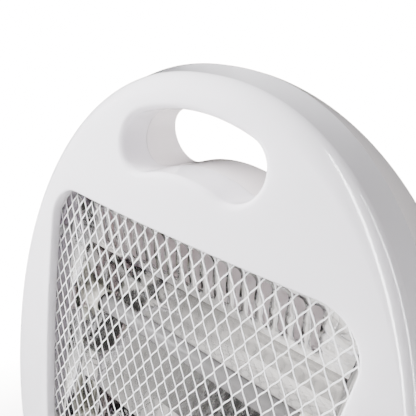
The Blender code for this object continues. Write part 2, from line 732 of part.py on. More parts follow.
def rear_shell():
    """The back shell: upright back sloping to the handle, louvres, handle sleeve and screw wells."""
    holes = [handle_back()]
    skins = (back_y, behind(back_y, -WALL))
    for _, side in SIDES:
        for row in range(LOUVRE_ROWS):
            z = BODY_FOOT + LOUVRE_RISE + LOUVRE_PITCH * row
            holes.append([louvre_loop(side * LOUVRE_BANK, z, skin) for skin in skins])
    shell = make_shell("rear_shell", rear_edge(), holes, *skins, SKIN_SPACING, "white_plastic")
    wells = bmesh.new()
    bores = bmesh.new()
    for x, z in shell_screws():
        add_cylinder(wells, (x, 1.5 * GAP, z), (x, back_y(x, z) - 0.5 * WALL, z), BOSS_RADIUS)
        shank = (SCREW_RADIUS + GAP, -WELL_FLOOR, WELL_FLOOR)
        head = (SCREW_HEAD_RADIUS + GAP, WELL_FLOOR, back_y(x, z) + BACK_ROUND)
        add_stepped(bores, (shank, head), (0.0, 1.0, 0.0), (x, 0.0, z))
    tip = BASE_TOP - BASE_WALL - GAP + SCREW_LENGTH
    y = BASE_CENTRE_Y
    for _, side in SIDES:
        x = side * BODY_SCREW_X
        add_cylinder(wells, (x, y, BODY_FOOT + 0.5 * WALL), (x, y, tip + WALL), BOSS_RADIUS)
        add_cylinder(bores, (x, y, BASE_TOP), (x, y, tip + GAP), SCREW_RADIUS + GAP, 8)
    x = TIP_WIRE_X
    add_cylinder(bores, (x, TIP_Y, BASE_TOP), (x, TIP_Y, BODY_FOOT + 2.0 * WALL), TIP_WIRE_HOLE)
    y = back_y(0.0, GLAND_HEIGHT)
    z = GLAND_HEIGHT
    add_cylinder(bores, (0.0, y - 2.0 * WALL, z), (0.0, y + WALL, z), GLAND_RADIUS + GAP, 20)
    combine(shell, "UNION", "rear_well_tool", wells)
    combine(shell, "DIFFERENCE", "rear_bore_tool", bores)


def mesh_guard():
    """The bowed guard sheet with its diamond openings."""
    front = behind(guard_y, -GUARD_THICKNESS / 2.0)
    back = behind(guard_y, GUARD_THICKNESS / 2.0)
    edge = [window_loop(GUARD_MARGIN, front), window_loop(GUARD_MARGIN, back)]
    clear = window_loop(GUARD_MARGIN - GUARD_STRAND, front)
    step_x = GUARD_PITCH_X / 2.0
    step_z = GUARD_PITCH_Z / 2.0
    reach = 0.5 * GUARD_STRAND * math.hypot(step_x, step_z)
    half_x = step_x - reach / step_z
    half_z = step_z - reach / step_x
    rows = int((WINDOW_TOP - WINDOW_BOTTOM) / step_z)
    columns = int(2.0 * WINDOW_TOP_HALF / step_x)
    holes = []
    for row in range(-rows, rows + 1):
        for column in range(-columns, columns + 1):
            if (row + column) % 2:
                continue
            x = column * step_x
            z = FACE_BOW_HEIGHT + row * step_z
            loop = [(x + half_x, z), (x, z + half_z), (x - half_x, z), (x, z - half_z)]
            if all(inside(px, pz, clear) for px, pz in loop):
                holes.append([[(px, depth_of(px, pz), pz) for px, pz in loop] for depth_of in (front, back)])
    print("guard openings:", len(holes))
    make_shell("mesh_guard", edge, holes, front, back, 0.0, "guard_enamel")


def reflector_profile():
    """(y, z) of the reflector sheet's front side, from the top flange down."""
    points = [(REFLECTOR_FACE, PANEL_TOP + TOP_FLANGE), (REFLECTOR_FACE, PANEL_TOP)]
    for name in ("upper", "lower"):
        for step in range(TROUGH_STEPS + 1):
            across = 1.0 - 2.0 * step / TROUGH_STEPS
            z = TUBE_HEIGHTS[name] + TROUGH_HALF * across
            points.append((TROUGH_BACK - TROUGH_DEPTH * across * across, z))
    points += [(REFLECTOR_FACE, SHELF_FRONT), (REFLECTOR_FACE, SHELF_FRONT - BOTTOM_FLANGE)]
    return points


def offset_profile(points, amount):
    """The profile moved back along its own normals."""
    moved = []
    for i, point in enumerate(points):
        here = Vector(point)
        before = Vector(points[i - 1]) if i else here * 2.0 - Vector(points[1])
        after = Vector(points[i + 1]) if i < len(points) - 1 else here * 2.0 - Vector(points[i - 1])
        arriving = (here - before).normalized()
        leaving = (after - here).normalized()
        normal = Vector((-arriving.y, arriving.x))
        middle = (normal + Vector((-leaving.y, leaving.x))).normalized()
        moved.append(tuple(here + middle * (amount / middle.dot(normal))))
    return moved


def slot_loop(x):
    """A teardrop vent in the sloping panel, as (x, z) points."""
    points = []
    for radius, z, begin, steps in (
        (SLOT_TOP_RADIUS, SLOT_TOP - SLOT_TOP_RADIUS, 0.0, 6),
        (SLOT_BOTTOM_RADIUS, SLOT_BOTTOM + SLOT_BOTTOM_RADIUS, 180.0, 4),
    ):
        for i in range(steps + 1):
            angle = math.radians(begin + 180.0 * i / steps)
            points.append((x + radius * math.cos(angle), z + radius * math.sin(angle)))
    return points


def reflector():
    """One folded sheet: top flange, vented panel, two troughs and bottom flange."""
    front = reflector_profile()
    section = front + list(reversed(offset_profile(front, -SHEET)))
    bm = bmesh.new()
    rings = []
    for _, side in SIDES:
        rings.append([bm.verts.new((side * (plate_half(z) - GAP), y, z)) for y, z in section])
    bridge(bm, rings, closed_ends=True)
    sheet = finish_piece("reflector", bm, "polished_aluminium")
    slots = bmesh.new()
    pairs = int((plate_half(SLOT_BOTTOM) - SLOT_END) / SLOT_PITCH)
    for i in range(2 * pairs):
        x = SLOT_PITCH * (i - pairs + 0.5)
        loop = [(px, REFLECTOR_FACE - PANEL_DEPTH, pz) for px, pz in slot_loop(x)]
        add_prism(slots, loop, (0.0, 3.0 * PANEL_DEPTH, 0.0))
    combine(sheet, "DIFFERENCE", "reflector_slot_tool", slots)


def cap_notch(side, height):
    """The outline of the notch that lets a cap into its end plate from the front."""
    radius = CAP_RADIUS + GAP
    x = side * (plate_half(height) - NOTCH_REACH)
    notch = [(x, REFLECTOR_FACE - SHEET, height + radius)]
    for i in range(9):
        angle = math.radians(90.0 - 22.5 * i)
        notch.append((x, TUBE_Y + radius * math.cos(angle), height + radius * math.sin(angle)))
    notch.append((x, REFLECTOR_FACE - SHEET, height - radius))
    return notch


def reflector_end(name, side):
    """An end plate with its outward flange and a notch for each tube cap."""
    rear = TROUGH_BACK + SHEET
    low = SHELF_FRONT - PLATE_FOLD
    outline = [(REFLECTOR_FACE, low), (rear, low), (rear, PANEL_BOTTOM)]
    outline.append((REFLECTOR_FACE, PANEL_TOP + PLATE_FOLD))
    bm = bmesh.new()
    loops = []
    for thick in (0.0, SHEET):
        loops.append([bm.verts.new((side * (plate_half(z) + thick), y, z)) for y, z in outline])
    bridge(bm, loops, closed_ends=True)
    plate = finish_piece("reflector_end_" + name, bm, "polished_aluminium")
    shoulder = PANEL_TOP - FLANGE_SHOULDER
    corners = [
        (0.5 * SHEET, SHELF_FRONT), (FLANGE_WIDTH, SHELF_FRONT),
        (FLANGE_WIDTH, shoulder), (0.5 * SHEET + PLATE_FOLD, PANEL_TOP), (0.5 * SHEET, PANEL_TOP),
    ]
    flange = bmesh.new()
    loop = [(side * (plate_half(z) + out), REFLECTOR_FACE, z) for out, z in corners]
    add_prism(flange, loop, (0.0, SHEET, 0.0))
    combine(plate, "UNION", "end_flange_tool_" + name, flange)
    cuts = bmesh.new()
    for height in TUBE_HEIGHTS.values():
        add_prism(cuts, cap_notch(side, height), (side * 2.0 * NOTCH_REACH, 0.0, 0.0))
    for x, z in flange_screws():
        if x * side > 0.0:
            hole_y = REFLECTOR_FACE + 0.5 * SHEET
            add_cylinder(cuts, (x, hole_y - SHEET, z), (x, hole_y + SHEET, z), SCREW_RADIUS + GAP, 8)
    combine(plate, "DIFFERENCE", "end_cut_tool_" + name, cuts)


def pin_end(height):
    """How far from the middle a tube's terminal pin ends."""
    return plate_half(height) + CAP_OUTSIDE + PIN_LENGTH


def heater_bar(name, height):
    """A quartz tube with its coil, two ceramic caps and two terminal pins."""
    inner = plate_half(height) - CAP_INSIDE
    outer = plate_half(height) + CAP_OUTSIDE
    tube_half = inner + CAP_GRIP
    place = (0.0, TUBE_Y, height)
    across = (1.0, 0.0, 0.0)
    bore = [(TUBE_BORE, -tube_half), (TUBE_RADIUS, -tube_half)]
    bore += [(TUBE_RADIUS, tube_half), (TUBE_BORE, tube_half)]
    lathe("quartz_tube_" + name, bore, across, place, "milky_quartz")
    coil_half = tube_half - COIL_END
    coil = [(0.0, -coil_half), (COIL_RADIUS, -coil_half), (COIL_RADIUS, coil_half), (0.0, coil_half)]
    lathe("heating_coil_" + name, coil, across, place, "resistance_wire", 16)
    socket = TUBE_RADIUS + GAP
    hole = PIN_RADIUS + GAP
    floor = tube_half + GAP
    cap = [(socket, inner), (CAP_RADIUS - CAP_CHAMFER, inner), (CAP_RADIUS, inner + CAP_CHAMFER)]
    cap += [(CAP_RADIUS, outer), (hole, outer), (hole, floor), (socket, floor)]
    start = coil_half + GAP
    pin = [(0.0, start), (PIN_RADIUS, start), (PIN_RADIUS, pin_end(height)), (0.0, pin_end(height))]
    for side_name, side in SIDES:
        lathe("tube_cap_" + name + "_" + side_name, cap, (side, 0.0, 0.0), place, "cream_ceramic", 20)
        lathe("terminal_pin_" + name + "_" + side_name, pin, (side, 0.0, 0.0), place, "steel", 8)


def smooth_route(points):
    """Points every few diameters along a smooth curve through the given ones."""
    knots = [Vector(p) for p in points]
    knots = [2.0 * knots[0] - knots[1]] + knots + [2.0 * knots[-1] - knots[-2]]
    route = []
    for a, b, c, d in zip(knots[:-3], knots[1:-2], knots[2:-1], knots[3:]):
        count = max(1, round((c - b).length / WIRE_STEP))
        for i in range(count):
            t = i / count
            square = 2.0 * a - 5.0 * b + 4.0 * c - d
            cube = 3.0 * b - a - 3.0 * c + d
            route.append(0.5 * (2.0 * b + (c - a) * t + square * t * t + cube * t ** 3))
    return route + [knots[-2]]


def wire(name, points):
    """A lead of glass-braided wire along a smooth route."""
    curve = bpy.data.curves.new(name, "CURVE")
    curve.dimensions = "3D"
    curve.bevel_depth = WIRE_RADIUS * MM
    curve.bevel_resolution = 2
    curve.use_fill_caps = True
    route = smooth_route(points)
    path = curve.splines.new("POLY")
    path.points.add(len(route) - 1)
    for knot, point in zip(path.points, route):
        knot.co = (*(point * MM), 1.0)
    place_object(name, curve, "glass_braid", (0.0, 0.0, 0.0))


def in_body(across, deep, high):
    """A place inside the body, for a lead to run through.

    across counts half widths of the reflector, deep runs from the tubes (0) to the back (1), and
    high from the body's foot (-1) over the lower tube (0) to the upper one (1).
    """
    lower = TUBE_HEIGHTS["lower"]
    span = TUBE_HEIGHTS["upper"] - lower if high > 0.0 else lower - BODY_FOOT
    z = lower + span * high
    return across * plate_half(z), TUBE_Y + deep * (BACK_DEPTH - TUBE_Y), z


def beside_in_body(x, deep, high):
    """The same for a lead that is held at a place across."""
    return (x, *in_body(0.0, deep, high)[1:])


def wiring():
    """The leads between the tube ends, the cut-out, the switches and the terminal block."""
    upper = TUBE_HEIGHTS["upper"]
    lower = TUBE_HEIGHTS["lower"]
    upper_end = pin_end(upper) + GAP
    lower_end = pin_end(lower) + GAP
    beside = lower_end + WIRE_RADIUS
    cutout_y = CUTOUT_SEAT + (CUTOUT_FLANGE_DEPTH + CUTOUT_DEPTH) / 2.0
    cutout_x = CUTOUT_RADIUS + GAP
    block_y = back_y(0.0, BLOCK_BOTTOM) - WALL - GAP - BLOCK_DEPTH / 2.0
    block_top = BLOCK_BOTTOM + BLOCK_TALL + GAP
    block_low = BLOCK_BOTTOM - GAP
    left = -SWITCH_SPACING / 2.0
    right = SWITCH_SPACING / 2.0
    rear = SWITCH_DEPTH + GAP
    wire("common_wire", [
        (-upper_end, TUBE_Y, upper), (-upper_end - WIRE_START, TUBE_Y, upper),
        in_body(-1.217, 0.061, 0.861), in_body(-1.202, 0.083, 0.468),
        (-beside, TUBE_Y, lower + WIRE_PAST_TUBE), (-beside, TUBE_Y, lower),
        (-beside, TUBE_Y, lower - WIRE_PAST_TUBE),
        in_body(-1.221, 0.286, -0.25), in_body(-1.086, 0.579, -0.116), in_body(-0.683, 0.714, 0.26),
        (-cutout_x - WIRE_START, cutout_y, CUTOUT_HEIGHT), (-cutout_x, cutout_y, CUTOUT_HEIGHT),
    ])
    wire("cutout_lead", [
        (cutout_x, cutout_y, CUTOUT_HEIGHT), (cutout_x + WIRE_START, cutout_y, CUTOUT_HEIGHT),
        in_body(0.355, 0.624, 0.26), in_body(0.346, 0.691, -0.176),
        (BLOCK_WAY, block_y, block_top + WIRE_START), (BLOCK_WAY, block_y, block_top),
    ])
    wire("lead_upper", [
        (upper_end, TUBE_Y, upper), (upper_end + WIRE_START, TUBE_Y, upper),
        in_body(1.217, 0.083, 0.861), in_body(1.241, 0.218, 0.376), in_body(1.276, 0.286, -0.055),
        in_body(1.181, 0.331, -0.357), in_body(0.815, 0.376, -0.518),
        in_switch(right, (SWITCH_TAB_X, rear + WIRE_START, SWITCH_TAB_Z)),
        in_switch(right, (SWITCH_TAB_X, rear, SWITCH_TAB_Z)),
    ])
    wire("lead_lower", [
        (lower_end, TUBE_Y, lower), (lower_end + WIRE_START, TUBE_Y, lower),
        in_body(1.235, 0.016, -0.156), in_body(1.128, 0.061, -0.397), in_body(0.748, 0.128, -0.457),
        in_body(0.09, 0.173, -0.487), in_body(-0.182, 0.241, -0.558),
        in_switch(left, (SWITCH_TAB_X, rear + WIRE_START, SWITCH_TAB_Z)),
        in_switch(left, (SWITCH_TAB_X, rear, SWITCH_TAB_Z)),
    ])
    for name, x, way in (("left", left, -BLOCK_WAY), ("right", right, 0.0)):
        wire("feed_wire_" + name, [
            (way, block_y, block_top), (way, block_y, block_top + WIRE_START),
            beside_in_body(0.4 * way + 0.1 * x, 0.601, -0.437), beside_in_body(0.9 * x, 0.399, -0.598),
            in_switch(x, (-SWITCH_TAB_X, rear + WIRE_START, -SWITCH_TAB_Z)),
            in_switch(x, (-SWITCH_TAB_X, rear, -SWITCH_TAB_Z)),
        ])
    wire("tip_lead", [
        (TIP_WIRE_X, TIP_Y, BASE_FLOOR + TIP_TALL + GAP), (TIP_WIRE_X, TIP_Y, BODY_FOOT + 2.0 * WALL),
        beside_in_body(-0.9 * BLOCK_WAY, 0.691, -0.799),
        (-BLOCK_WAY, block_y, block_low - WIRE_START), (-BLOCK_WAY, block_y, block_low),
    ])


def heat_shield():
    """A flat steel sheet resting against the backs of the troughs."""
    bm = bmesh.new()
    low = TUBE_HEIGHTS["lower"] - SHIELD_MARGIN
    high = TUBE_HEIGHTS["upper"] + SHIELD_MARGIN
    add_box(bm, (-SHIELD_HALF_WIDTH, SHIELD_FRONT, low), (SHIELD_HALF_WIDTH, SHIELD_FRONT + SHEET, high))
    finish_piece("heat_shield", bm, "galvanised_steel")


def thermal_cutout():
    """The bimetal cut-out on the back of the shield."""
    body = [(0.0, 0.0), (CUTOUT_FLANGE, 0.0), (CUTOUT_FLANGE, CUTOUT_FLANGE_DEPTH)]
    body += [(CUTOUT_RADIUS, CUTOUT_FLANGE_DEPTH), (CUTOUT_RADIUS, CUTOUT_DEPTH), (0.0, CUTOUT_DEPTH)]
    place = (0.0, CUTOUT_SEAT, CUTOUT_HEIGHT)
    lathe("thermal_cutout", body, (0.0, 1.0, 0.0), place, "black_plastic", 20)


def terminal_block():
    """The mains terminal block on the inside of the back, with three ways."""
    back = back_y(0.0, BLOCK_BOTTOM) - WALL - GAP
    front = back - BLOCK_DEPTH
    half = BLOCK_WIDTH / 2.0
    bm = bmesh.new()
    add_box(bm, (-half, front, BLOCK_BOTTOM), (half, back, BLOCK_BOTTOM + BLOCK_TALL))
    block = finish_piece("terminal_block", bm, "white_plastic")
    holes = bmesh.new()
    middle = BLOCK_BOTTOM + BLOCK_TALL / 2.0
    for way in (-BLOCK_WAY, 0.0, BLOCK_WAY):
        end = (way, front + BLOCK_HOLE_DEPTH, middle)
        add_cylinder(holes, (way, front - 1.0, middle), end, BLOCK_HOLE_RADIUS)
    combine(block, "DIFFERENCE", "terminal_hole_tool", holes)


def cord_gland():
    """The strain-relief bush in the back, empty because no cord is modelled."""
    bush = [(GLAND_BORE, -GLAND_INSIDE), (GLAND_RADIUS, -GLAND_INSIDE), (GLAND_RADIUS, GAP)]
    bush += [(GLAND_FLANGE, GAP), (GLAND_FLANGE, GAP + GLAND_FLANGE_DEPTH)]
    bush += [(GLAND_RADIUS, GAP + 2.0 * GLAND_FLANGE_DEPTH)]
    bush += [(GLAND_BORE + GLAND_LIP, GLAND_OUTSIDE), (GLAND_BORE, GLAND_OUTSIDE)]
    place = (0.0, back_y(0.0, GLAND_HEIGHT), GLAND_HEIGHT)
    lathe("cord_gland", bush, (0.0, 1.0, 0.0), place, "black_plastic", 20)


def base_loop(shrink, z, inset=0.0):
    """The base outline at a height, shrunk by a share of its taper."""
    half_x = BASE_HALF_WIDTH - BASE_SHRINK_X * shrink - inset
    half_y = BASE_HALF_DEPTH - BASE_SHRINK_Y * shrink - inset
    points = []
    for i in range(36):
        angle = math.tau * i / 36
        x = half_x * math.copysign(abs(math.cos(angle)) ** (2.0 / BASE_POWER), math.cos(angle))
        y = half_y * math.copysign(abs(math.sin(angle)) ** (2.0 / BASE_POWER), math.sin(angle))
        points.append((x, BASE_CENTRE_Y + y, z))
    return points


def base_side(inset, top):
    """Loops from the rim up the skirt and over the rounded shoulder."""
    skirt = BASE_BOTTOM + BASE_SKIRT
    loops = [base_loop(0.0, BASE_BOTTOM, inset)]
    for step in range(4):
        angle = math.radians(30.0 * step)
        loops.append(base_loop(1.0 - math.cos(angle), skirt + (top - skirt) * math.sin(angle), inset))
    return loops


def base():
    """The foot moulding, a hollow oval whose flat top carries the body."""
    bm = bmesh.new()
    outer = [[bm.verts.new(p) for p in loop] for loop in base_side(0.0, BASE_TOP)]
    inner = [[bm.verts.new(p) for p in loop] for loop in base_side(BASE_WALL, BASE_TOP - BASE_WALL)]
    bridge(bm, outer)
    bridge(bm, inner)
    bridge(bm, [outer[0], inner[0]])
    bm.faces.new(outer[-1])
    bm.faces.new(inner[-1])
    moulding = finish_piece("base", bm, "white_plastic")
    bosses = bmesh.new()
    holes = bmesh.new()
    tip = BASE_BOTTOM + PLATE_RAISE - GAP + SCREW_LENGTH
    for x, y in base_screws():
        add_cylinder(bosses, (x, y, BASE_FLOOR), (x, y, BASE_TOP - 0.5 * BASE_WALL), BOSS_RADIUS)
        add_cylinder(holes, (x, y, BASE_BOTTOM), (x, y, tip + GAP), SCREW_RADIUS + GAP, 8)
    low = BASE_TOP - 2.0 * BASE_WALL
    y = BASE_CENTRE_Y
    for _, side in SIDES:
        x = side * BODY_SCREW_X
        add_cylinder(holes, (x, y, low), (x, y, BODY_FOOT), SCREW_RADIUS + GAP, 8)
    x = TIP_WIRE_X
    add_cylinder(holes, (x, TIP_Y, low), (x, TIP_Y, BODY_FOOT), TIP_WIRE_HOLE)
    combine(moulding, "UNION", "base_boss_tool", bosses)
    combine(moulding, "DIFFERENCE", "base_hole_tool", holes)


def base_plate():
    """The flat bottom plate inside the base's rim, with its screw holes and the plunger's hole."""
    low = BASE_BOTTOM + PLATE_RAISE
    bm = bmesh.new()
    add_prism(bm, base_loop(0.0, low, BASE_WALL + GAP), (0.0, 0.0, PLATE_THICKNESS))
    plate = finish_piece("base_plate", bm, "black_plastic")
    cuts = bmesh.new()
    high = low + 2.0 * PLATE_THICKNESS
    for x, y in base_screws():
        add_cylinder(cuts, (x, y, 0.0), (x, y, high), SCREW_RADIUS + GAP, 8)
    add_cylinder(cuts, (0.0, TIP_Y, 0.0), (0.0, TIP_Y, high), TIP_PLUNGER_RADIUS + RUNNING, 20)
    combine(plate, "DIFFERENCE", "base_plate_cut_tool", cuts)


def rubber_feet():
    """Four feet under the bottom plate."""
    top = BASE_BOTTOM + PLATE_RAISE - GAP
    foot = [(0.0, 0.0), (FOOT_RADIUS - FOOT_CHAMFER, 0.0), (FOOT_RADIUS, FOOT_CHAMFER)]
    foot += [(FOOT_RADIUS, top), (0.0, top)]
    x = BASE_HALF_WIDTH - FOOT_INSET_X
    y = BASE_HALF_DEPTH - FOOT_INSET_Y
    for name, side in SIDES:
        for end_name, end in (("front", -1.0), ("rear", 1.0)):
            place = (side * x, BASE_CENTRE_Y + end * y, 0.0)
            lathe("rubber_foot_" + end_name + "_" + name, foot, (0.0, 0.0, 1.0), place, "black_rubber", 20)


def tip_switch():
    """The tip-over switch on the bottom plate and the plunger that feels the floor."""
    top = BASE_FLOOR + TIP_TALL
    bm = bmesh.new()
    low_corner = (-TIP_HALF_WIDTH, TIP_Y - TIP_HALF_DEPTH, BASE_FLOOR)
    add_box(bm, low_corner, (TIP_HALF_WIDTH, TIP_Y + TIP_HALF_DEPTH, top))
    body = finish_piece("tip_switch_body", bm, "black_plastic")
    bores = bmesh.new()
    roof = top - TIP_ROOF
    stem_bore = (TIP_PLUNGER_RADIUS + RUNNING, 0.0, BASE_FLOOR + TIP_FLOOR)
    collar_bore = (TIP_COLLAR_RADIUS + RUNNING, BASE_FLOOR + TIP_FLOOR, roof)
    add_stepped(bores, (stem_bore, collar_bore), (0.0, 0.0, 1.0), (0.0, TIP_Y, 0.0), 20)
    combine(body, "DIFFERENCE", "tip_bore_tool", bores)
    collar = BASE_FLOOR + TIP_FLOOR + TIP_TRAVEL + RUNNING
    stem = TIP_PLUNGER_RADIUS
    plunger = [(0.0, TIP_LIFT), (stem - TIP_CHAMFER, TIP_LIFT), (stem, TIP_LIFT + TIP_CHAMFER)]
    plunger += [(stem, collar), (TIP_COLLAR_RADIUS, collar), (TIP_COLLAR_RADIUS, collar + TIP_COLLAR)]
    plunger += [(stem, collar + TIP_COLLAR), (stem, roof - GAP), (0.0, roof - GAP)]
    lathe("tip_plunger", plunger, (0.0, 0.0, 1.0), (0.0, TIP_Y, 0.0), "black_plastic", 20)


def rocker_switch(name, x):
    """A switch housing with its bezel, and the rocker that tilts in it, switched off."""
    half_x = SWITCH_HALF_WIDTH
    half_z = SWITCH_HALF_TALL
    place = switch_origin(x)
    body = bmesh.new()
    add_box(body, (-half_x, -0.5 * BEZEL_THICKNESS, -half_z), (half_x, SWITCH_DEPTH, half_z))
    housing = finish_piece("switch_housing_" + name, body, "black_plastic", place, SWITCH_LEAN)
    bezel = bmesh.new()
    wide = half_x + BEZEL_BORDER
    tall = half_z + BEZEL_BORDER
    add_box(bezel, (-wide, -BEZEL_THICKNESS, -tall), (wide, 0.0, tall))
    combine(housing, "UNION", "bezel_tool_" + name, bezel, place, SWITCH_LEAN)
    pocket = bmesh.new()
    width = half_x - SWITCH_WALL
    axle = ((-width, ROCKER_PIVOT_DEPTH, 0.0), (width, ROCKER_PIVOT_DEPTH, 0.0))
    add_cylinder(pocket, *axle, ROCKER_RADIUS + POCKET_ROOM, 28)
    combine(housing, "DIFFERENCE", "pocket_tool_" + name, pocket, place, SWITCH_LEAN)
    near = -width + RUNNING
    crest = -ROCKER_PIVOT_DEPTH - BEZEL_THICKNESS - ROCKER_PROUD
    loop = []
    for i in range(11):
        angle = math.radians(-80.0 + 16.0 * i)
        loop.append((near, ROCKER_RADIUS * math.cos(angle), ROCKER_RADIUS * math.sin(angle)))
    loop += [(near, crest, ROCKER_RADIUS), (near, crest + ROCKER_HOLLOW, 0.0), (near, crest, -ROCKER_RADIUS)]
    rocker = bmesh.new()
    add_prism(rocker, loop, (-2.0 * near, 0.0, 0.0))
    tilt = Matrix.Rotation(math.radians(-ROCKER_HALF_TRAVEL), 3, "X")
    bmesh.ops.rotate(rocker, verts=rocker.verts, cent=(0.0, 0.0, 0.0), matrix=tilt)
    pivot = in_switch(x, (0.0, ROCKER_PIVOT_DEPTH, 0.0))
    finish_piece("rocker_" + name, rocker, "black_plastic", pivot, SWITCH_LEAN)


def screw(name, place, axis, length):
    """A pan-head screw whose head's underside sits at place, with its shank along axis."""
    edge = SCREW_HEAD_RADIUS
    profile = [(0.0, -SCREW_HEAD_HEIGHT), (0.8 * edge, -SCREW_HEAD_HEIGHT), (edge, 0.0)]
    profile += [(SCREW_RADIUS, 0.0), (SCREW_RADIUS, length), (0.0, length)]
    lathe(name, profile, axis, place, "steel", 10)


def screws():
    """Every screw, each where it clamps."""
    forward = (0.0, -1.0, 0.0)
    for i, (x, z) in enumerate(shell_screws()):
        head = WELL_FLOOR + GAP
        screw("shell_screw_" + str(i + 1), (x, head, z), forward, head - shell_screw_tip(x, z))
    for i, (x, z) in enumerate(flange_screws()):
        head = REFLECTOR_FACE + SHEET + GAP
        screw("flange_screw_" + str(i + 1), (x, head, z), forward, head - face_y(x, z) - WALL - 2.0 * GAP)
    for i, (x, y) in enumerate(base_screws()):
        place = (x, y, BASE_BOTTOM + PLATE_RAISE - GAP)
        screw("base_screw_" + str(i + 1), place, (0.0, 0.0, 1.0), SCREW_LENGTH)
    for name, side in SIDES:
        place = (side * BODY_SCREW_X, BASE_CENTRE_Y, BASE_TOP - BASE_WALL - GAP)
        screw("body_screw_" + name, place, (0.0, 0.0, 1.0), SCREW_LENGTH)


def main():
    for old in list(bpy.data.objects):
        bpy.data.objects.remove(old, do_unlink=True)
    front_frame()
    rear_shell()
    mesh_guard()
    reflector()
    for name, side in SIDES:
        reflector_end(name, side)
    for name, height in TUBE_HEIGHTS.items():
        heater_bar(name, height)
    heat_shield()
    thermal_cutout()
    terminal_block()
    cord_gland()
    wiring()
    base()
    base_plate()
    rubber_feet()
    tip_switch()
    for name, x in switch_places():
        rocker_switch(name, x)
    screws()


main()
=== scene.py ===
"""Quartz heater with a carrying handle: the finished pieces, materials, camera and studio.

Lengths are in millimetres until a mesh is made. Like the frame's own source, the functions
measure y from the plane where the two shells meet, which lies at SHELL_PLANE in the frame.
X runs across the heater, -Y is its front and +Z is up.
"""
import json
import math

import bmesh
import bpy
from mathutils import Matrix, Vector, noise
from mathutils.geometry import area_tri, delaunay_2d_cdt


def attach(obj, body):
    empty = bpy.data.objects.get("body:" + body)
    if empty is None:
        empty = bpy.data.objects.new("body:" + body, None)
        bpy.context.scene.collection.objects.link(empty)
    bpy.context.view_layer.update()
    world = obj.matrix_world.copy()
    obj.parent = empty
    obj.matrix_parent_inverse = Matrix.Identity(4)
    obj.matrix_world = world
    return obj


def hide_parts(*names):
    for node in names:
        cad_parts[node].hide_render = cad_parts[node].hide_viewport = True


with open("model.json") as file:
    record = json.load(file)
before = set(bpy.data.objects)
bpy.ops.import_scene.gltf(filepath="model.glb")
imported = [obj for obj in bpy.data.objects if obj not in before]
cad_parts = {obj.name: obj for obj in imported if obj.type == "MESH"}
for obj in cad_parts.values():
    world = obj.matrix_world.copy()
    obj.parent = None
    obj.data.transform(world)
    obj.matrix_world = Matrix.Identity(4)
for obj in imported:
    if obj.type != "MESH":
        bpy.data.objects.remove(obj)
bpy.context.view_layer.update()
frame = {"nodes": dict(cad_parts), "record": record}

MM = 0.001
SHELL_PLANE = -16.0       # the frame's y of the plane where the shells meet
GAP = 0.3

# Body outline and walls
BODY_HEIGHT = 356.5
BODY_HALF_WIDTH = 122.8
BODY_HALF_HEIGHT = 177.8
BODY_POWER = 2.2
FLARE_SIDE = 5.7
FLARE_TOP = 8.6
EDGE_POWER = 2.23
BODY_FOOT = 28.0
WALL = 2.4
EDGE_SHARE = 0.42
RIM = 1.5
OUTLINE_STEPS = 180
FOOT_STEPS = 24

# Front edge: narrow at the sides, a broad soft roll over the top
EDGE_DEPTH = 3.0
TOP_EDGE_DEPTH = 6.0
TOP_EDGE_INSET = 7.0
EDGE_INSET = 1.0
EDGE_CREASE = 1.15        # over 1.0, so that its round is tighter at both ends
EDGE_STEPS = 14

# Face and back surfaces
FACE_FRONT = -22.2
FACE_BOW_X = 0.001149
FACE_BOW_Z = 0.00069
FACE_CREST = 122.5
BACK_DEPTH = 53.7
BACK_TOP_DEPTH = 12.0
BACK_SLOPE = 0.431
BACK_BLEND = 6.0
BACK_ROUND = 8.0

# Window, lip and handle slot
TOP_BORDER = 73.7
SIDE_BORDER = 27.2
CONTROL_HEIGHT = 68.0
WINDOW_TAPER = 0.0936
WINDOW_RADIUS = 19.5
WINDOW_EDGE = 1.2         # radius of the round on its rim
LIP_DEPTH = 5.8
LIP_WALL = 2.4
GRIP = 20.7
HANDLE_ARC_RADIUS = 78.0
HANDLE_HALF_SPAN = 25.2
HANDLE_HALF_SLOT = 13.4
HANDLE_LIP = 3.0          # radius of the round on its rim
HANDLE_BACK_LIP = 4.0
HANDLE_RISE = 5.5         # how much higher the slot is at the back
HANDLE_SPREAD = 7.0       # how much longer it is there at each end
HANDLE_SEAM_SHARE = 0.45
SKIN_SPACING = 7.0

# Guard
GUARD_SHEET = 0.35
MESH_HALF_WIDE = 3.5      # half a diamond
MESH_HALF_TALL = 6.3556
MESH_TURN = 0.9           # degrees that the mesh lies off square
MESH_SHIFT = 5.37
KNOT_HALF_WIDE = 0.18
KNOT_HALF_TALL = 0.75
STRAND_STEPS = 6
STRAND_CURVE = 0.28       # how upright a strand leaves its knot
MESH_MARGIN = 3.0
MESH_REACH = 34           # half diamonds from its middle that are tried

# Reflector
REFLECTOR_SETBACK = 16.7
SHEET = 0.8
FOIL = 0.35               # thickness of the bright sheet
PLATE_INSET = 4.3
PLATE_FOLD = 3.0
FLANGE_WIDTH = 19.0
FLANGE_SHOULDER = 20.0
TOP_FLANGE = 14.0
BOTTOM_FLANGE = 11.0
PANEL_DROP = 5.2
PANEL_DEPTH = 11.7
TROUGH_DEPTH = 20.6
TROUGH_HALF = 33.4
TROUGH_STEPS = 40
SHELF_DROP = 1.0
SLOT_PITCH = 7.65
SLOT_DROP = 2.3
SLOT_RISE = 5.2
SLOT_END = 12.0
SLOT_TOP_RADIUS = 2.6
SLOT_WAIST = 1.4
SLOT_WAIST_SHARE = 0.42   # how far up a vent its waist is
SLOT_BOTTOM_RADIUS = 1.8
COLUMN = 6.0              # spacing of the sheet's columns
PANEL_SPACING = 2.6       # of the points between the panel's vents
PANEL_DENT = 0.1
CORNER_DENT = 1.8         # how much deeper the dents are in its upper right corner
CORNER_LEFT = 52.0
FLANGE_DENT = 1.6
FLANGE_ROWS = 60
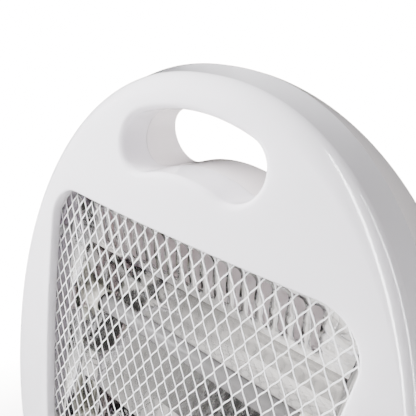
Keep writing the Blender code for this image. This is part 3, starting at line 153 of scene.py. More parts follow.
FLANGE_COLUMNS = 8

# Tubes
UPPER_TUBE_DROP = 68.8
LOWER_TUBE_RISE = 31.5
TUBE_SETBACK = 14.8
TUBE_RADIUS = 5.0
TUBE_BORE = 3.6           # radius of its bore
CAP_RADIUS = 6.8
CAP_INSIDE = 14.0
CAP_OUTSIDE = 5.0
CAP_GRIP = 13.0
CAP_MOUTH = 6.1
CAP_MOUTH_DEPTH = 6.0
CAP_HOLE = 1.2
CAP_CHAMFER = 0.3
CAP_ROUND = 0.7
CAP_GROOVE_SHARE = 0.62   # how far along a cap its groove is
CAP_GROOVE_DEPTH = 0.5
COIL_RADIUS = 2.8
COIL_WIRE = 0.28
COIL_PITCH = 1.5
COIL_END = 1.0
COIL_POINTS = 10

# Screws
# The pan head's section, as shares of its radius and height
PAN_HEAD = ((0.62, 0.0), (0.8, 0.06), (0.93, 0.22), (1.0, 0.55), (1.0, 1.0))
# The round of a well's rim: how far out and how deep each loop is
WELL_RIM = ((0.6, 0.0), (0.2, 0.2), (0.0, 0.6))
SCREW_RADIUS = 1.6
SCREW_HEAD_RADIUS = 3.2
SCREW_HEAD_HEIGHT = 2.0
SCREW_LENGTH = 14.0
SCREW_POINT = 1.5
SCREW_TIP_RADIUS = 0.4
SCREW_SIDES = 28
CROSS_DEPTH = 1.3
CROSS_TOP = (1.7, 0.45)   # length and half width of its arms
CROSS_FLOOR = (1.2, 0.25)
WELL_SIDES = 24
BOSS_RADIUS = 5.0
SMALL_BOSS_RADIUS = 3.6
WELL_FLOOR = 4.0
TOP_SCREW_DROP = 42.0
TOP_SCREW_INSET = 20.5
SIDE_SCREW_INSET = 11.0
LOW_SCREW_RISE = 24.0
LOW_SCREW_INSET = 18.0
FLANGE_SCREW_OUT = 14.3
FLANGE_SCREW_DROP = 32.0
FLANGE_SCREW_RISE = 30.0

# Switches
# The bezel's round: how far in each loop is, and its share of the thickness
BEZEL_ROUND = ((0.0, 0.0), (0.0, 0.6), (0.25, 0.9), (0.8, 1.0))
# The round at a rocker's two sides: how far along each loop is, and how much smaller
ROCKER_ENDS = ((0.0, 0.35), (0.1, 0.1), (0.35, 0.0))
SWITCH_SPACING = 44.0
SWITCH_RISE = 32.0
SWITCH_HALF_WIDTH = 6.5
SWITCH_HALF_TALL = 10.0
SWITCH_DEPTH = 18.0
SWITCH_WALL = 1.0
SWITCH_SEAT = 0.5
SWITCH_LEAN_ROOM = 0.5
BEZEL_BORDER = 1.6
BEZEL_THICKNESS = 1.5
BEZEL_RADIUS = 1.6
ROCKER_RADIUS = 7.0
ROCKER_PROUD = 0.7
ROCKER_HOLLOW = 1.0       # how deep its face is hollowed
ROCKER_PIVOT_DEPTH = 1.5
ROCKER_HALF_TRAVEL = 8.0  # degrees
MARK_HEIGHT = 4.3         # from the rocker's middle
MARK_RAISED = 0.05
MARK_SUNK = 0.1
MARK_HALF = 1.3           # half the height of the ring and of the bar
RING_HOLE = 0.8
BAR_HALF = 0.28
POCKET_ROOM = 1.6
RUNNING = 0.4

# Louvres, gland, base
LOUVRE_ROWS = 6
LOUVRE_PITCH = 15.0
LOUVRE_RISE = 100.0
LOUVRE_HALF_LENGTH = 30.0
LOUVRE_HALF_GAP = 2.2
LOUVRE_BANK = 36.0
LOUVRE_EDGE = 0.7
GLAND_RISE = 18.0
GLAND_RADIUS = 5.0
GLAND_BORE = 3.2
GLAND_FLANGE = 7.5
GLAND_FLANGE_DEPTH = 2.4
GLAND_INSIDE = 6.0
GLAND_OUTSIDE = 13.0
GLAND_LIP = 1.2
GLAND_RIBS = 3
GLAND_RIM = 0.5
GLAND_ROUND = 0.9
# A rib's section: shares of its pitch, and how far it drops
GLAND_RIB = ((0.05, 0.0), (0.55, 0.0), (0.65, 0.6), (0.9, 0.6))
BASE_CENTRE_Y = 16.0
BASE_HALF_WIDTH = 112.0
BASE_HALF_DEPTH = 63.0
BASE_POWER = 2.6
BASE_SHRINK_X = 14.0
BASE_SHRINK_Y = 11.0
BASE_BOTTOM = 3.0
BASE_SKIRT = 6.0
BASE_WALL = 2.6
BASE_CHAMFER = 0.4
PLATE_RAISE = 1.0
FOOT_RADIUS = 8.0
FOOT_CHAMFER = 0.8
FOOT_DISH = ((0.0, 0.4), (4.5, 0.4), (5.2, 0.0))   # radius and height
FOOT_INSET_X = 28.0
FOOT_INSET_Y = 33.0
BASE_SCREW_INSET_X = 50.0
BASE_SCREW_INSET_Y = 33.0

# Worked out from the sizes above
BODY_CENTRE = BODY_HEIGHT - BODY_HALF_HEIGHT
EDGE_HALF_WIDTH = BODY_HALF_WIDTH - FLARE_SIDE
EDGE_HALF_HEIGHT = BODY_HALF_HEIGHT - FLARE_TOP
FACE_BOW_HEIGHT = BODY_HEIGHT - FACE_CREST
WINDOW_TOP = BODY_HEIGHT - TOP_BORDER
WINDOW_BOTTOM = BODY_FOOT + CONTROL_HEIGHT
WINDOW_TOP_HALF = EDGE_HALF_WIDTH - SIDE_BORDER
HANDLE_ARC_CENTRE = BODY_HEIGHT - GRIP - HANDLE_HALF_SLOT - HANDLE_ARC_RADIUS
REFLECTOR_FACE = FACE_FRONT + REFLECTOR_SETBACK
PANEL_TOP = WINDOW_TOP - PANEL_DROP
TROUGH_FRONT = REFLECTOR_FACE + PANEL_DEPTH
TROUGH_BACK = TROUGH_FRONT + TROUGH_DEPTH
TUBE_Y = REFLECTOR_FACE + TUBE_SETBACK
TUBE_HEIGHTS = {"upper": WINDOW_TOP - UPPER_TUBE_DROP, "lower": WINDOW_BOTTOM + LOWER_TUBE_RISE}
PANEL_BOTTOM = TUBE_HEIGHTS["upper"] + TROUGH_HALF
SHELF_BACK = TUBE_HEIGHTS["lower"] - TROUGH_HALF
SHELF_FRONT = SHELF_BACK - SHELF_DROP
SLOT_TOP = PANEL_TOP - SLOT_DROP
SLOT_BOTTOM = PANEL_BOTTOM + SLOT_RISE
SWITCH_HEIGHT = BODY_FOOT + SWITCH_RISE
SWITCH_LEAN = math.atan(FACE_BOW_Z * (FACE_BOW_HEIGHT - SWITCH_HEIGHT))
GLAND_HEIGHT = BODY_FOOT + GLAND_RISE
ROCKER_CREST = -ROCKER_PIVOT_DEPTH - BEZEL_THICKNESS - ROCKER_PROUD
BASE_TOP = BODY_FOOT - GAP
SIDES = (("left", -1.0), ("right", 1.0))


# Shader node groups

EVEN = (1.0, 1.0, 1.0)
SOCKET_KINDS = {"Colour": "NodeSocketColor", "Normal": "NodeSocketVector"}


def feed(tree, socket, value):
    """Puts a number on a socket, or links another socket to it."""
    if isinstance(value, float):
        socket.default_value = value
    else:
        tree.links.new(value, socket)


def combine_values(tree, operation, *values):
    """The result of a maths node on numbers or sockets."""
    node = tree.nodes.new("ShaderNodeMath")
    node.operation = operation
    for socket, value in zip(node.inputs, values):
        feed(tree, socket, value)
    return node.outputs[0]


def bumped(tree, height, strength, distance):
    """A bump node over a height."""
    node = tree.nodes.new("ShaderNodeBump")
    for label, value in (("Height", height), ("Strength", strength), ("Distance", distance)):
        feed(tree, node.inputs[label], value)
    return node


def new_group(name, inputs, outputs):
    """An empty shader node group. inputs gives each socket's first value; a colour has none."""
    group = bpy.data.node_groups.new(name, "ShaderNodeTree")
    for in_out, sockets in (("INPUT", inputs), ("OUTPUT", dict.fromkeys(outputs))):
        for label, value in sockets.items():
            kind = SOCKET_KINDS.get(label, "NodeSocketFloat")
            socket = group.interface.new_socket(name=label, in_out=in_out, socket_type=kind)
            if value is not None:
                socket.default_value = value
    return group, group.nodes.new("NodeGroupInput"), group.nodes.new("NodeGroupOutput")


def stretched_noise(group, stretch, scale, detail):
    """Noise over the piece, stretched along its axes."""
    place = group.nodes.new("ShaderNodeTexCoord")
    mapping = group.nodes.new("ShaderNodeMapping")
    mapping.inputs["Scale"].default_value = stretch
    group.links.new(place.outputs["Object"], mapping.inputs["Vector"])
    pattern = group.nodes.new("ShaderNodeTexNoise")
    pattern.inputs["Detail"].default_value = detail
    group.links.new(mapping.outputs["Vector"], pattern.inputs["Vector"])
    feed(group, pattern.inputs["Scale"], scale)
    return pattern.outputs["Fac"]


def make_mottle():
    """Colour that varies a little from place to place."""
    group, given, made = new_group("mottle", {"Colour": None, "Amount": 0.03, "Scale": 30.0}, ["Colour"])
    pattern = stretched_noise(group, EVEN, given.outputs["Scale"], 3.0)
    centred = combine_values(group, "SUBTRACT", pattern, 0.5)
    swing = combine_values(group, "MULTIPLY_ADD", centred, given.outputs["Amount"], 1.0)
    tint = group.nodes.new("ShaderNodeVectorMath")
    tint.operation = "SCALE"
    group.links.new(given.outputs["Colour"], tint.inputs[0])
    group.links.new(swing, tint.inputs["Scale"])
    group.links.new(tint.outputs[0], made.inputs["Colour"])
    return group


def make_grain():
    """Fine grain of a moulded or cast surface, as a normal and as a roughness."""
    first = {"Scale": 900.0, "Strength": 0.1, "Depth": 0.00002, "Roughness": 0.3, "Spread": 0.08}
    group, given, made = new_group("grain", first, ["Normal", "Roughness"])
    value = given.outputs
    pattern = stretched_noise(group, EVEN, value["Scale"], 4.0)
    bump = bumped(group, pattern, value["Strength"], value["Depth"])
    group.links.new(bump.outputs["Normal"], made.inputs["Normal"])
    clouds = stretched_noise(group, EVEN, 45.0, 2.0)
    centred = combine_values(group, "SUBTRACT", clouds, 0.5)
    spread = combine_values(group, "MULTIPLY_ADD", centred, value["Spread"], value["Roughness"])
    group.links.new(spread, made.inputs["Roughness"])
    return group


def make_ripple():
    """Rolling marks and shallow dents of thin sheet, as a normal."""
    group, given, made = new_group("sheet ripple", {"Dents": 0.5, "Rolling": 0.3}, ["Normal"])
    dents = stretched_noise(group, (1.0, 1.0, 0.45), 60.0, 2.0)
    wide = bumped(group, dents, given.outputs["Dents"], 0.002)
    rolling = stretched_noise(group, (1.0, 1.0, 0.03), 900.0, 3.0)
    fine = bumped(group, rolling, given.outputs["Rolling"], 0.0001)
    group.links.new(wide.outputs["Normal"], fine.inputs["Normal"])
    group.links.new(fine.outputs["Normal"], made.inputs["Normal"])
    return group


def make_braid():
    """Two crossing sets of strands round a sleeve, as a height."""
    group, given, made = new_group("braid", {"Scale": 400.0}, ["Height"])
    place = group.nodes.new("ShaderNodeTexCoord")
    strands = []
    for turn in (math.radians(45.0), math.radians(-45.0)):
        mapping = group.nodes.new("ShaderNodeMapping")
        mapping.inputs["Rotation"].default_value = (turn, turn, 0.0)
        group.links.new(place.outputs["Object"], mapping.inputs["Vector"])
        wave = group.nodes.new("ShaderNodeTexWave")
        wave.inputs["Distortion"].default_value = 0.4
        group.links.new(mapping.outputs["Vector"], wave.inputs["Vector"])
        group.links.new(given.outputs["Scale"], wave.inputs["Scale"])
        strands.append(wave.outputs["Fac"])
    group.links.new(combine_values(group, "MAXIMUM", *strands), made.inputs["Height"])
    return group


MOTTLE = make_mottle()
GRAIN = make_grain()
RIPPLE = make_ripple()
BRAID = make_braid()


def place_group(material, group, **values):
    """A node of the group in a material, with its own values."""
    node = material.node_tree.nodes.new("ShaderNodeGroup")
    node.node_tree = group
    for label, value in values.items():
        node.inputs[label].default_value = value
    return node


def plain_surface(name, **sockets):
    """A material and its Principled BSDF with constants set on its own sockets."""
    material = bpy.data.materials.new(name)
    material.use_nodes = True
    shader = material.node_tree.nodes["Principled BSDF"]
    for label, value in sockets.items():
        shader.inputs[label.replace("_", " ")].default_value = value
    return material, shader


def coloured(material, shader, colour, amount, scale):
    """Base colour with a slight variation."""
    mottle = place_group(material, MOTTLE, Colour=(*colour, 1.0), Amount=amount, Scale=scale)
    material.node_tree.links.new(mottle.outputs["Colour"], shader.inputs["Base Color"])


def grained(material, shader, roughness, spread, scale, strength, depth=0.00002):
    """Grain in the normal and an uneven roughness."""
    grain = place_group(
        material, GRAIN, Scale=scale, Strength=strength, Depth=depth, Roughness=roughness, Spread=spread
    )
    material.node_tree.links.new(grain.outputs["Normal"], shader.inputs["Normal"])
    material.node_tree.links.new(grain.outputs["Roughness"], shader.inputs["Roughness"])


def surface(name, colour, mottle, grain, **sockets):
    """A mottled, grained finish. Its numbers follow coloured and grained."""
    material, shader = plain_surface(name, **sockets)
    coloured(material, shader, colour, *mottle)
    grained(material, shader, *grain)
    return material


def white_plastic(name, colour):
    """Glossy moulded plastic that lets a little light in."""
    return surface(
        name, colour, (0.02, 18.0), (0.24, 0.05, 1400.0, 0.03), Coat_Weight=1.0, Coat_Roughness=0.05,
        Subsurface_Weight=0.6, Subsurface_Radius=EVEN, Subsurface_Scale=0.003,
    )


def polished_aluminium():
    """Bright rolled sheet."""
    material, shader = plain_surface("polished_aluminium", Roughness=0.08, Metallic=1.0)
    coloured(material, shader, (0.8, 0.795, 0.787), 0.08, 35.0)
    ripple = place_group(material, RIPPLE, Dents=0.06, Rolling=0.2)
    material.node_tree.links.new(ripple.outputs["Normal"], shader.inputs["Normal"])
    return material


def glass_braid():
    """The woven sleeve of the leads."""
    material, shader = plain_surface("glass_braid", Roughness=0.75)
    coloured(material, shader, (0.8, 0.78, 0.7), 0.15, 300.0)
    braid = place_group(material, BRAID, Scale=420.0)
    bump = bumped(material.node_tree, braid.outputs["Height"], 1.0, 0.0002)
    material.node_tree.links.new(bump.outputs["Normal"], shader.inputs["Normal"])
    return material


MATERIALS = {
    "white_plastic": white_plastic("white_plastic", (0.87, 0.845, 0.88)),
    "guard_enamel": surface("guard_enamel", (0.9, 0.9, 0.9), (0.08, 220.0), (0.38, 0.15, 2500.0, 0.2)),
    "polished_aluminium": polished_aluminium(),
    "milky_quartz": surface(
        "milky_quartz", (0.31, 0.3, 0.295), (0.1, 60.0), (0.16, 0.06, 1200.0, 0.06),
        IOR=1.46, Transmission_Weight=0.45,
    ),
    "cream_ceramic": surface(
        "cream_ceramic", (0.84, 0.82, 0.73), (0.12, 260.0), (0.55, 0.2, 2200.0, 0.45, 0.00005),
    ),
    "black_plastic": surface(
        "black_plastic", (0.028, 0.028, 0.03), (0.25, 120.0), (0.42, 0.12, 2600.0, 0.35, 0.00004),
    ),
    "steel": surface(
        "plated_steel", (0.62, 0.62, 0.61), (0.2, 400.0), (0.3, 0.2, 1500.0, 0.2), Metallic=1.0,
    ),
    "galvanised_steel": surface(
        "galvanised_steel", (0.55, 0.55, 0.56), (0.35, 90.0), (0.45, 0.3, 300.0, 0.2), Metallic=1.0,
    ),
    "black_rubber": surface(
        "black_rubber", (0.02, 0.02, 0.02), (0.4, 160.0), (0.8, 0.15, 1800.0, 0.6, 0.00006),
    ),
    "resistance_wire": surface(
        "resistance_wire", (0.3, 0.27, 0.24), (0.3, 700.0), (0.5, 0.2, 3000.0, 0.2), Metallic=1.0,
    ),
    "glass_braid": glass_braid(),
}
# A copy of the white plastic for the rear shell, tinted warmer and a little lighter: painted warm shade for
# the warm light on its shaded sides and in the handle tunnel
WARM_SHADE_REAR_PLASTIC = white_plastic("rear_plastic_warm_shade", (0.915, 0.86, 0.86))
MARKING = surface("white_marking", (0.75, 0.75, 0.74), (0.1, 500.0), (0.5, 0.1, 2500.0, 0.2))


# Making pieces

def in_frame(point):
    """A point in metres in the frame, from millimetres about the meeting plane."""
    return (Vector(point) + Vector((0.0, SHELL_PLANE, 0.0))) * MM


def new_object(name, data):
    """An object of the data, in the scene."""
    made = bpy.data.objects.new(name, data)
    bpy.context.scene.collection.objects.link(made)
    return made


def dress(piece, slot, nodes, body, material=None):
    """Gives a piece its finish, its body and the nodes that it stands for."""
    piece.data.materials.append(material or MATERIALS[slot])
    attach(piece, body)
    if nodes:
        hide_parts(*nodes)
    return piece


def finish_piece(name, bm, slot, nodes=(), body="heater", place=None, sharp=30.0, material=None):
    """Makes a piece from bm, in millimetres, in a local frame where place is given."""
    bmesh.ops.recalc_face_normals(bm, faces=bm.faces)
    for vert in bm.verts:
        vert.co = in_frame(place @ vert.co if place else vert.co)
    mesh = bpy.data.meshes.new(name)
    bm.to_mesh(mesh)
    bm.free()
    mesh.shade_smooth()
    mesh.set_sharp_from_angle(angle=math.radians(sharp))
    return dress(new_object(name, mesh), slot, nodes, body, material)


def quarter(steps, crease=1.0):
    """(out, back) shares along a quarter round, from (1, 0) at its start to (0, 1) at its end."""
    turns = [math.radians(90.0 * step / steps) for step in range(steps + 1)]
    return [(1.0 - math.sin(turn) ** crease, 1.0 - math.cos(turn) ** crease) for turn in turns]


def ramp(value, begin, length):
    """0 up to begin, 1 from length past it, and even between."""
    return min(1.0, max(0.0, (value - begin) / length))


def eased(t):
    """A share from 0 to 1 that starts and ends softly."""
    return t * t * (3.0 - 2.0 * t)


def bridge(bm, loops, closed_ends=False):
    """Faces between successive loops of equal length, capped at both ends if asked."""
    for near, far in zip(loops[:-1], loops[1:]):
        for i in range(len(near)):
            j = (i + 1) % len(near)
            bm.faces.new((near[i], near[j], far[j], far[i]))
    if closed_ends:
        bm.faces.new(loops[0])
        bm.faces.new(list(reversed(loops[-1])))


def add_loops(bm, loops, closed_ends=False):
    """Vertices and faces for a stack of point loops."""
    made = [[bm.verts.new(p) for p in loop] for loop in loops]
    bridge(bm, made, closed_ends)
    return made


def circle(centre, radius, segments, plane="XZ"):
    """Points round a circle in a plane."""
    points = []
    for i in range(segments):
        angle = math.tau * i / segments
        u = radius * math.cos(angle)
        v = radius * math.sin(angle)
        offset = (u, 0.0, v) if plane == "XZ" else (u, v, 0.0)
        points.append(tuple(Vector(centre) + Vector(offset)))
    return points


def add_turned(bm, profile, axis, start=(0.0, 0.0, 0.0), segments=48):
    """A solid or a ring turned from (radius, distance) points about an axis through start."""
    turn = Vector(axis).to_track_quat("Z", "Y").to_matrix()
    loops = []
    for radius, distance in profile:
        count = segments if radius else 1
        ring = []
        for i in range(count):
            angle = math.tau * i / segments
            point = Vector((radius * math.cos(angle), radius * math.sin(angle), distance))
            ring.append(bm.verts.new(Vector(start) + turn @ point))
        loops.append(ring)
    if len(loops[0]) > 1:
        loops.append(loops[0])
    for near, far in zip(loops[:-1], loops[1:]):
        for i in range(segments):
            j = (i + 1) % segments
            if len(near) == 1:
                bm.faces.new((near[0], far[i], far[j]))
            elif len(far) == 1:
                bm.faces.new((near[i], near[j], far[0]))
            else:
                bm.faces.new((near[i], near[j], far[j], far[i]))


def corner(points, centre, radius, begin, end, steps=4):
    """Adds a rounded corner of (radius, distance) points to a turned profile."""
    for i in range(steps + 1):
        angle = math.radians(begin + (end - begin) * i / steps)
        points.append((centre[0] + radius * math.cos(angle), centre[1] + radius * math.sin(angle)))


def inside(x, z, loop):
    """Whether (x, z) lies inside a closed loop of points."""
    found = False
    for a, b in zip(loop, loop[1:] + loop[:1]):
        if (a[2] > z) != (b[2] > z) and x < a[0] + (z - a[2]) * (b[0] - a[0]) / (b[2] - a[2]):
            found = not found
    return found


def skin_points(loops, rim, spacing):
    """Points inside the sheet, spaced evenly and kept off its rims."""
    xs = [p[0] for p in loops[0]]
    zs = [p[2] for p in loops[0]]
    points = []
    for row in range(int((max(zs) - min(zs)) / spacing) + 1):
        for column in range(int((max(xs) - min(xs)) / spacing) + 1):
            x = min(xs) + spacing * (column + 0.5 + 0.5 * (row % 2))
            z = min(zs) + spacing * (row + 0.5)
            if not inside(x, z, loops[0]) or any(inside(x, z, hole) for hole in loops[1:]):
                continue
            if min((p.x - x) ** 2 + (p.y - z) ** 2 for p in rim) > (0.6 * spacing) ** 2:
                points.append(Vector((x, z)))
    return points


def fill_skin(bm, rings, depth_of, spacing):
    """Triangulates the sheet inside rings[0] and outside the others, its points on depth_of(x, z)."""
    loops = [[tuple(v.co) for v in ring] for ring in rings]
    known = [v for ring in rings for v in ring]
    rim = [Vector((v.co.x, v.co.z)) for v in known]
    points = rim + (skin_points(loops, rim, spacing) if spacing else [])
    edges = []
    start = 0
    for ring in rings:
        count = len(ring)
        edges += [(start + i, start + (i + 1) % count) for i in range(count)]
        start += count
    flat, _, faces, sources, _, _ = delaunay_2d_cdt(points, edges, [], 0, 1e-7)
    verts = []
    for place, source in zip(flat, sources):
        if source and source[0] < len(known):
            verts.append(known[source[0]])
        else:
            verts.append(bm.verts.new((place.x, depth_of(place.x, place.y), place.y)))
    for face in faces:
        if area_tri(*[flat[i] for i in face]) < 1e-6:
            continue
        x = sum(flat[i].x for i in face) / 3.0
        z = sum(flat[i].y for i in face) / 3.0
        if inside(x, z, loops[0]) and not any(inside(x, z, hole) for hole in loops[1:]):
            bm.faces.new([verts[i] for i in face])


def add_shell(bm, edge, holes, front, back, spacing):
    """A closed shell. Each chain of loops runs from the front skin over an edge to the back skin."""
    chains = [[[bm.verts.new(p) for p in loop] for loop in chain] for chain in [edge] + holes]
    for chain in chains:
        bridge(bm, chain)
    fill_skin(bm, [chain[0] for chain in chains], front, spacing)
    fill_skin(bm, [chain[-1] for chain in chains], back, spacing)


# Surfaces and outlines

def face_y(x, z):
    """Depth of the bowed front face."""
    return FACE_FRONT + 0.5 * FACE_BOW_X * x * x + 0.5 * FACE_BOW_Z * (z - FACE_BOW_HEIGHT) ** 2


def guard_y(x, z):
    """Depth of the middle of the guard, which follows the face."""
    return face_y(x, z) + LIP_DEPTH


def back_y(x, z):
    """Depth of the back: an upright part blended into a slope that rises to the handle."""
    sloped = BACK_TOP_DEPTH + (BODY_HEIGHT - z) * BACK_SLOPE
    return -BACK_BLEND * math.log(math.exp(-sloped / BACK_BLEND) + math.exp(-BACK_DEPTH / BACK_BLEND))


def behind(depth_of, amount):
    """The same surface moved back."""
    return lambda x, z: depth_of(x, z) + amount


def level(y):
    """A flat surface."""
    return lambda x, z: y


def top_share(z):
    """How much of the top's broad roll the front edge has at a height: 0 at the sides, 1 on top."""
    return eased(ramp(z, BODY_CENTRE, EDGE_HALF_HEIGHT))


def outline_points(half_width, half_height, power, foot):
    """(x, z) points round the body from the right foot over the top to the left, then back."""
    start = -math.asin(((BODY_CENTRE - foot) / half_height) ** (power / 2.0))
    points = []
    for i in range(OUTLINE_STEPS + 1):
        angle = start + (math.pi - 2.0 * start) * i / OUTLINE_STEPS
        cosine = math.cos(angle)
        sine = math.sin(angle)
        x = half_width * math.copysign(abs(cosine) ** (2.0 / power), cosine)
        z = BODY_CENTRE + half_height * math.copysign(abs(sine) ** (2.0 / power), sine)
        points.append((x, z))
    left = points[-1][0]
    points += [(left * (1.0 - 2.0 * i / FOOT_STEPS), foot) for i in range(1, FOOT_STEPS)]
    return points


def on_surface(points, depth_of):
    """(x, z) points placed on a surface."""
    return [(x, depth_of(x, z), z) for x, z in points]


def body_points(flare, inset):
    """The body outline. flare is 0 at the front edge and 1 where the shells meet."""
    return outline_points(
        EDGE_HALF_WIDTH + FLARE_SIDE * flare - inset,
        EDGE_HALF_HEIGHT + FLARE_TOP * flare - inset,
        EDGE_POWER + (BODY_POWER - EDGE_POWER) * flare,
        BODY_FOOT + (1.0 - flare) * EDGE_DEPTH + inset,
    )


def body_loop(flare, inset, depth_of):
    """The body outline as points on a surface."""
    return on_surface(body_points(flare, inset), depth_of)


def edge_half(z):
    """Half the width of the front edge's outline at a height."""
    share = abs((z - BODY_CENTRE) / EDGE_HALF_HEIGHT) ** EDGE_POWER
    return EDGE_HALF_WIDTH * (1.0 - share) ** (1.0 / EDGE_POWER)


def window_half(z):
    """Half the window's width at a height."""
    return WINDOW_TOP_HALF - WINDOW_TAPER * (WINDOW_TOP - z)


def plate_half(z):
    """Half the distance between the reflector's end plates at a height."""
    return window_half(z) - PLATE_INSET


def window_loop(margin, depth_of, corner_steps=12, side_steps=24):
    """The window outline grown by margin, a tapered rectangle with round corners."""
    radius = WINDOW_RADIUS + margin
    top = WINDOW_TOP + margin - radius
    bottom = WINDOW_BOTTOM - margin + radius
    top_half = window_half(top) + margin - radius
    bottom_half = window_half(bottom) + margin - radius
    centres = [(top_half, top), (-top_half, top), (-bottom_half, bottom), (bottom_half, bottom)]
    points = []
    for k, (x, z) in enumerate(centres):
        for i in range(corner_steps + 1):
            angle = math.radians(90.0 * (k + i / corner_steps))
            points.append((x + radius * math.cos(angle), z + radius * math.sin(angle)))
        following = centres[(k + 1) % 4]
        turn = math.radians(90.0 * (k + 1))
        end = (following[0] + radius * math.cos(turn), following[1] + radius * math.sin(turn))
        begin = points[-1]
        for i in range(1, side_steps):
            t = i / side_steps
            points.append((begin[0] + (end[0] - begin[0]) * t, begin[1] + (end[1] - begin[1]) * t))
    return on_surface(points, depth_of)


def handle_loop(margin, depth_of, share=0.0, arc_steps=28, end_steps=20):
    """The arched handle slot grown by margin, from its shape in front to that at the back."""
    half = HANDLE_HALF_SLOT + margin
    half_span = HANDLE_HALF_SPAN + share * HANDLE_SPREAD
    centre_z = HANDLE_ARC_CENTRE + share * HANDLE_RISE
    span = math.asin(half_span / HANDLE_ARC_RADIUS)
    end_z = centre_z + HANDLE_ARC_RADIUS * math.cos(span)
    points = []
    for side, reach in ((1.0, HANDLE_ARC_RADIUS + half), (-1.0, HANDLE_ARC_RADIUS - half)):
        for i in range(arc_steps + 1):
            angle = side * span * (1.0 - 2.0 * i / arc_steps)
            points.append((reach * math.sin(angle), centre_z + reach * math.cos(angle)))
        begin = math.pi / 2.0 + span if side > 0.0 else -math.pi / 2.0 - span
        for i in range(1, end_steps):
            angle = begin + math.pi * i / end_steps
            x = -side * half_span + half * math.cos(angle)
            points.append((x, end_z + half * math.sin(angle)))
    return on_surface(points, depth_of)


def rounded_rectangle(x, z, half_x, half_z, radius, steps=5):
    """(x, z) points of a rectangle with round corners."""
    points = []
    for k, (sx, sz) in enumerate(((1.0, 1.0), (-1.0, 1.0), (-1.0, -1.0), (1.0, -1.0))):
        for i in range(steps + 1):
            angle = math.radians(90.0 * (k + i / steps))
            px = x + sx * (half_x - radius) + radius * math.cos(angle)
            points.append((px, z + sz * (half_z - radius) + radius * math.sin(angle)))
    return points


def louvre_points(x, z, margin, steps=10):
    """A slot with round ends, lying across, grown by margin."""
    straight = LOUVRE_HALF_LENGTH - LOUVRE_HALF_GAP
    radius = LOUVRE_HALF_GAP + margin
    points = []
    for side in (1.0, -1.0):
        for i in range(steps + 1):
            angle = math.radians(-90.0 + 180.0 * i / steps)
            px = x + side * (straight + radius * math.cos(angle))
            points.append((px, z + side * radius * math.sin(angle)))
    return points


def switch_places():
    """(side name, x) of each switch."""
    return [(name, side * SWITCH_SPACING / 2.0) for name, side in SIDES]


def switch_frame(x):
    """A switch's own leaning frame, its origin on the bezel's back."""
    outward = Vector((0.0, -math.cos(SWITCH_LEAN), -math.sin(SWITCH_LEAN)))
    origin = Vector((x, face_y(x, SWITCH_HEIGHT), SWITCH_HEIGHT)) + outward * SWITCH_SEAT
    return Matrix.Translation(origin) @ Matrix.Rotation(SWITCH_LEAN, 4, "X")


def shell_screws():
    """(x, z) of the screws that hold the shells together."""
    places = []
    for z, inset in (
        (BODY_HEIGHT - TOP_SCREW_DROP, TOP_SCREW_INSET),
        (BODY_CENTRE, SIDE_SCREW_INSET),
        (BODY_FOOT + LOW_SCREW_RISE, LOW_SCREW_INSET),
    ):
        places += [(side * (edge_half(z) - inset), z) for _, side in SIDES]
    return places


def flange_screws():
    """(x, z) of the screws that hold the reflector's end flanges."""
    heights = (WINDOW_TOP - FLANGE_SCREW_DROP, WINDOW_BOTTOM + FLANGE_SCREW_RISE)
    return [(side * (plate_half(z) + FLANGE_SCREW_OUT), z) for z in heights for _, side in SIDES]


# Front frame

def front_edge():
    """Loops over the front shell's outer edge, from its face to the inside of its face."""
    rim = -GAP / 2.0 - RIM
    outline = list(zip(body_points(EDGE_SHARE, 0.0), body_points(0.0, 0.0)))
    chain = []
    for out, back in quarter(EDGE_STEPS, EDGE_CREASE):
        loop = []
        for (x, z), (inner_x, inner_z) in outline:
            share = top_share(z)
            depth = EDGE_DEPTH + (TOP_EDGE_DEPTH - EDGE_DEPTH) * share
            inset = EDGE_INSET + (TOP_EDGE_INSET - EDGE_INSET) * share
            inward = Vector((inner_x - x, inner_z - z))
            reach = inward.length
            drawn = inward * ((reach + inset) / reach) if reach > 1e-6 else inward
            px = x + drawn.x * out
            pz = z + drawn.y * out
            loop.append((px, min(rim, face_y(px, pz) + depth * back), pz))
        chain.append(loop)
    chain += [body_loop(1.0, inset, level(-GAP / 2.0)) for inset in (0.0, WALL)]
    for flare, inset, sink in ((EDGE_SHARE, WALL, EDGE_DEPTH + WALL), (0.0, TOP_EDGE_INSET + WALL, WALL)):
        points = body_points(flare, inset)
        chain.append([(x, min(rim, face_y(x, z) + sink), z) for x, z in points])
    return chain


def handle_chain(depth_of, outward, lip, steps, seam, share):
    """Loops from a skin over the slot's rounded lip to the meeting plane, then back inside."""
    chain = []
    for out, back in quarter(steps):
        chain.append(handle_loop(lip * out, behind(depth_of, outward * lip * back), share))
    chain += [handle_loop(margin, level(seam), HANDLE_SEAM_SHARE) for margin in (0.0, WALL)]
    chain.append(handle_loop(WALL + lip, behind(depth_of, outward * WALL), share))
    return chain


def window_chain():
    """Loops from the face round the window's edge and back along the outside of its lip."""
    lip_end = behind(guard_y, -GUARD_SHEET / 2.0 - GAP)
    chain = []
    for out, back in quarter(4):
        chain.append(window_loop(WINDOW_EDGE * out, behind(face_y, WINDOW_EDGE * back)))
    chain += [window_loop(0.0, lip_end), window_loop(LIP_WALL, lip_end)]
    chain.append(window_loop(LIP_WALL, behind(face_y, WALL)))
    return chain


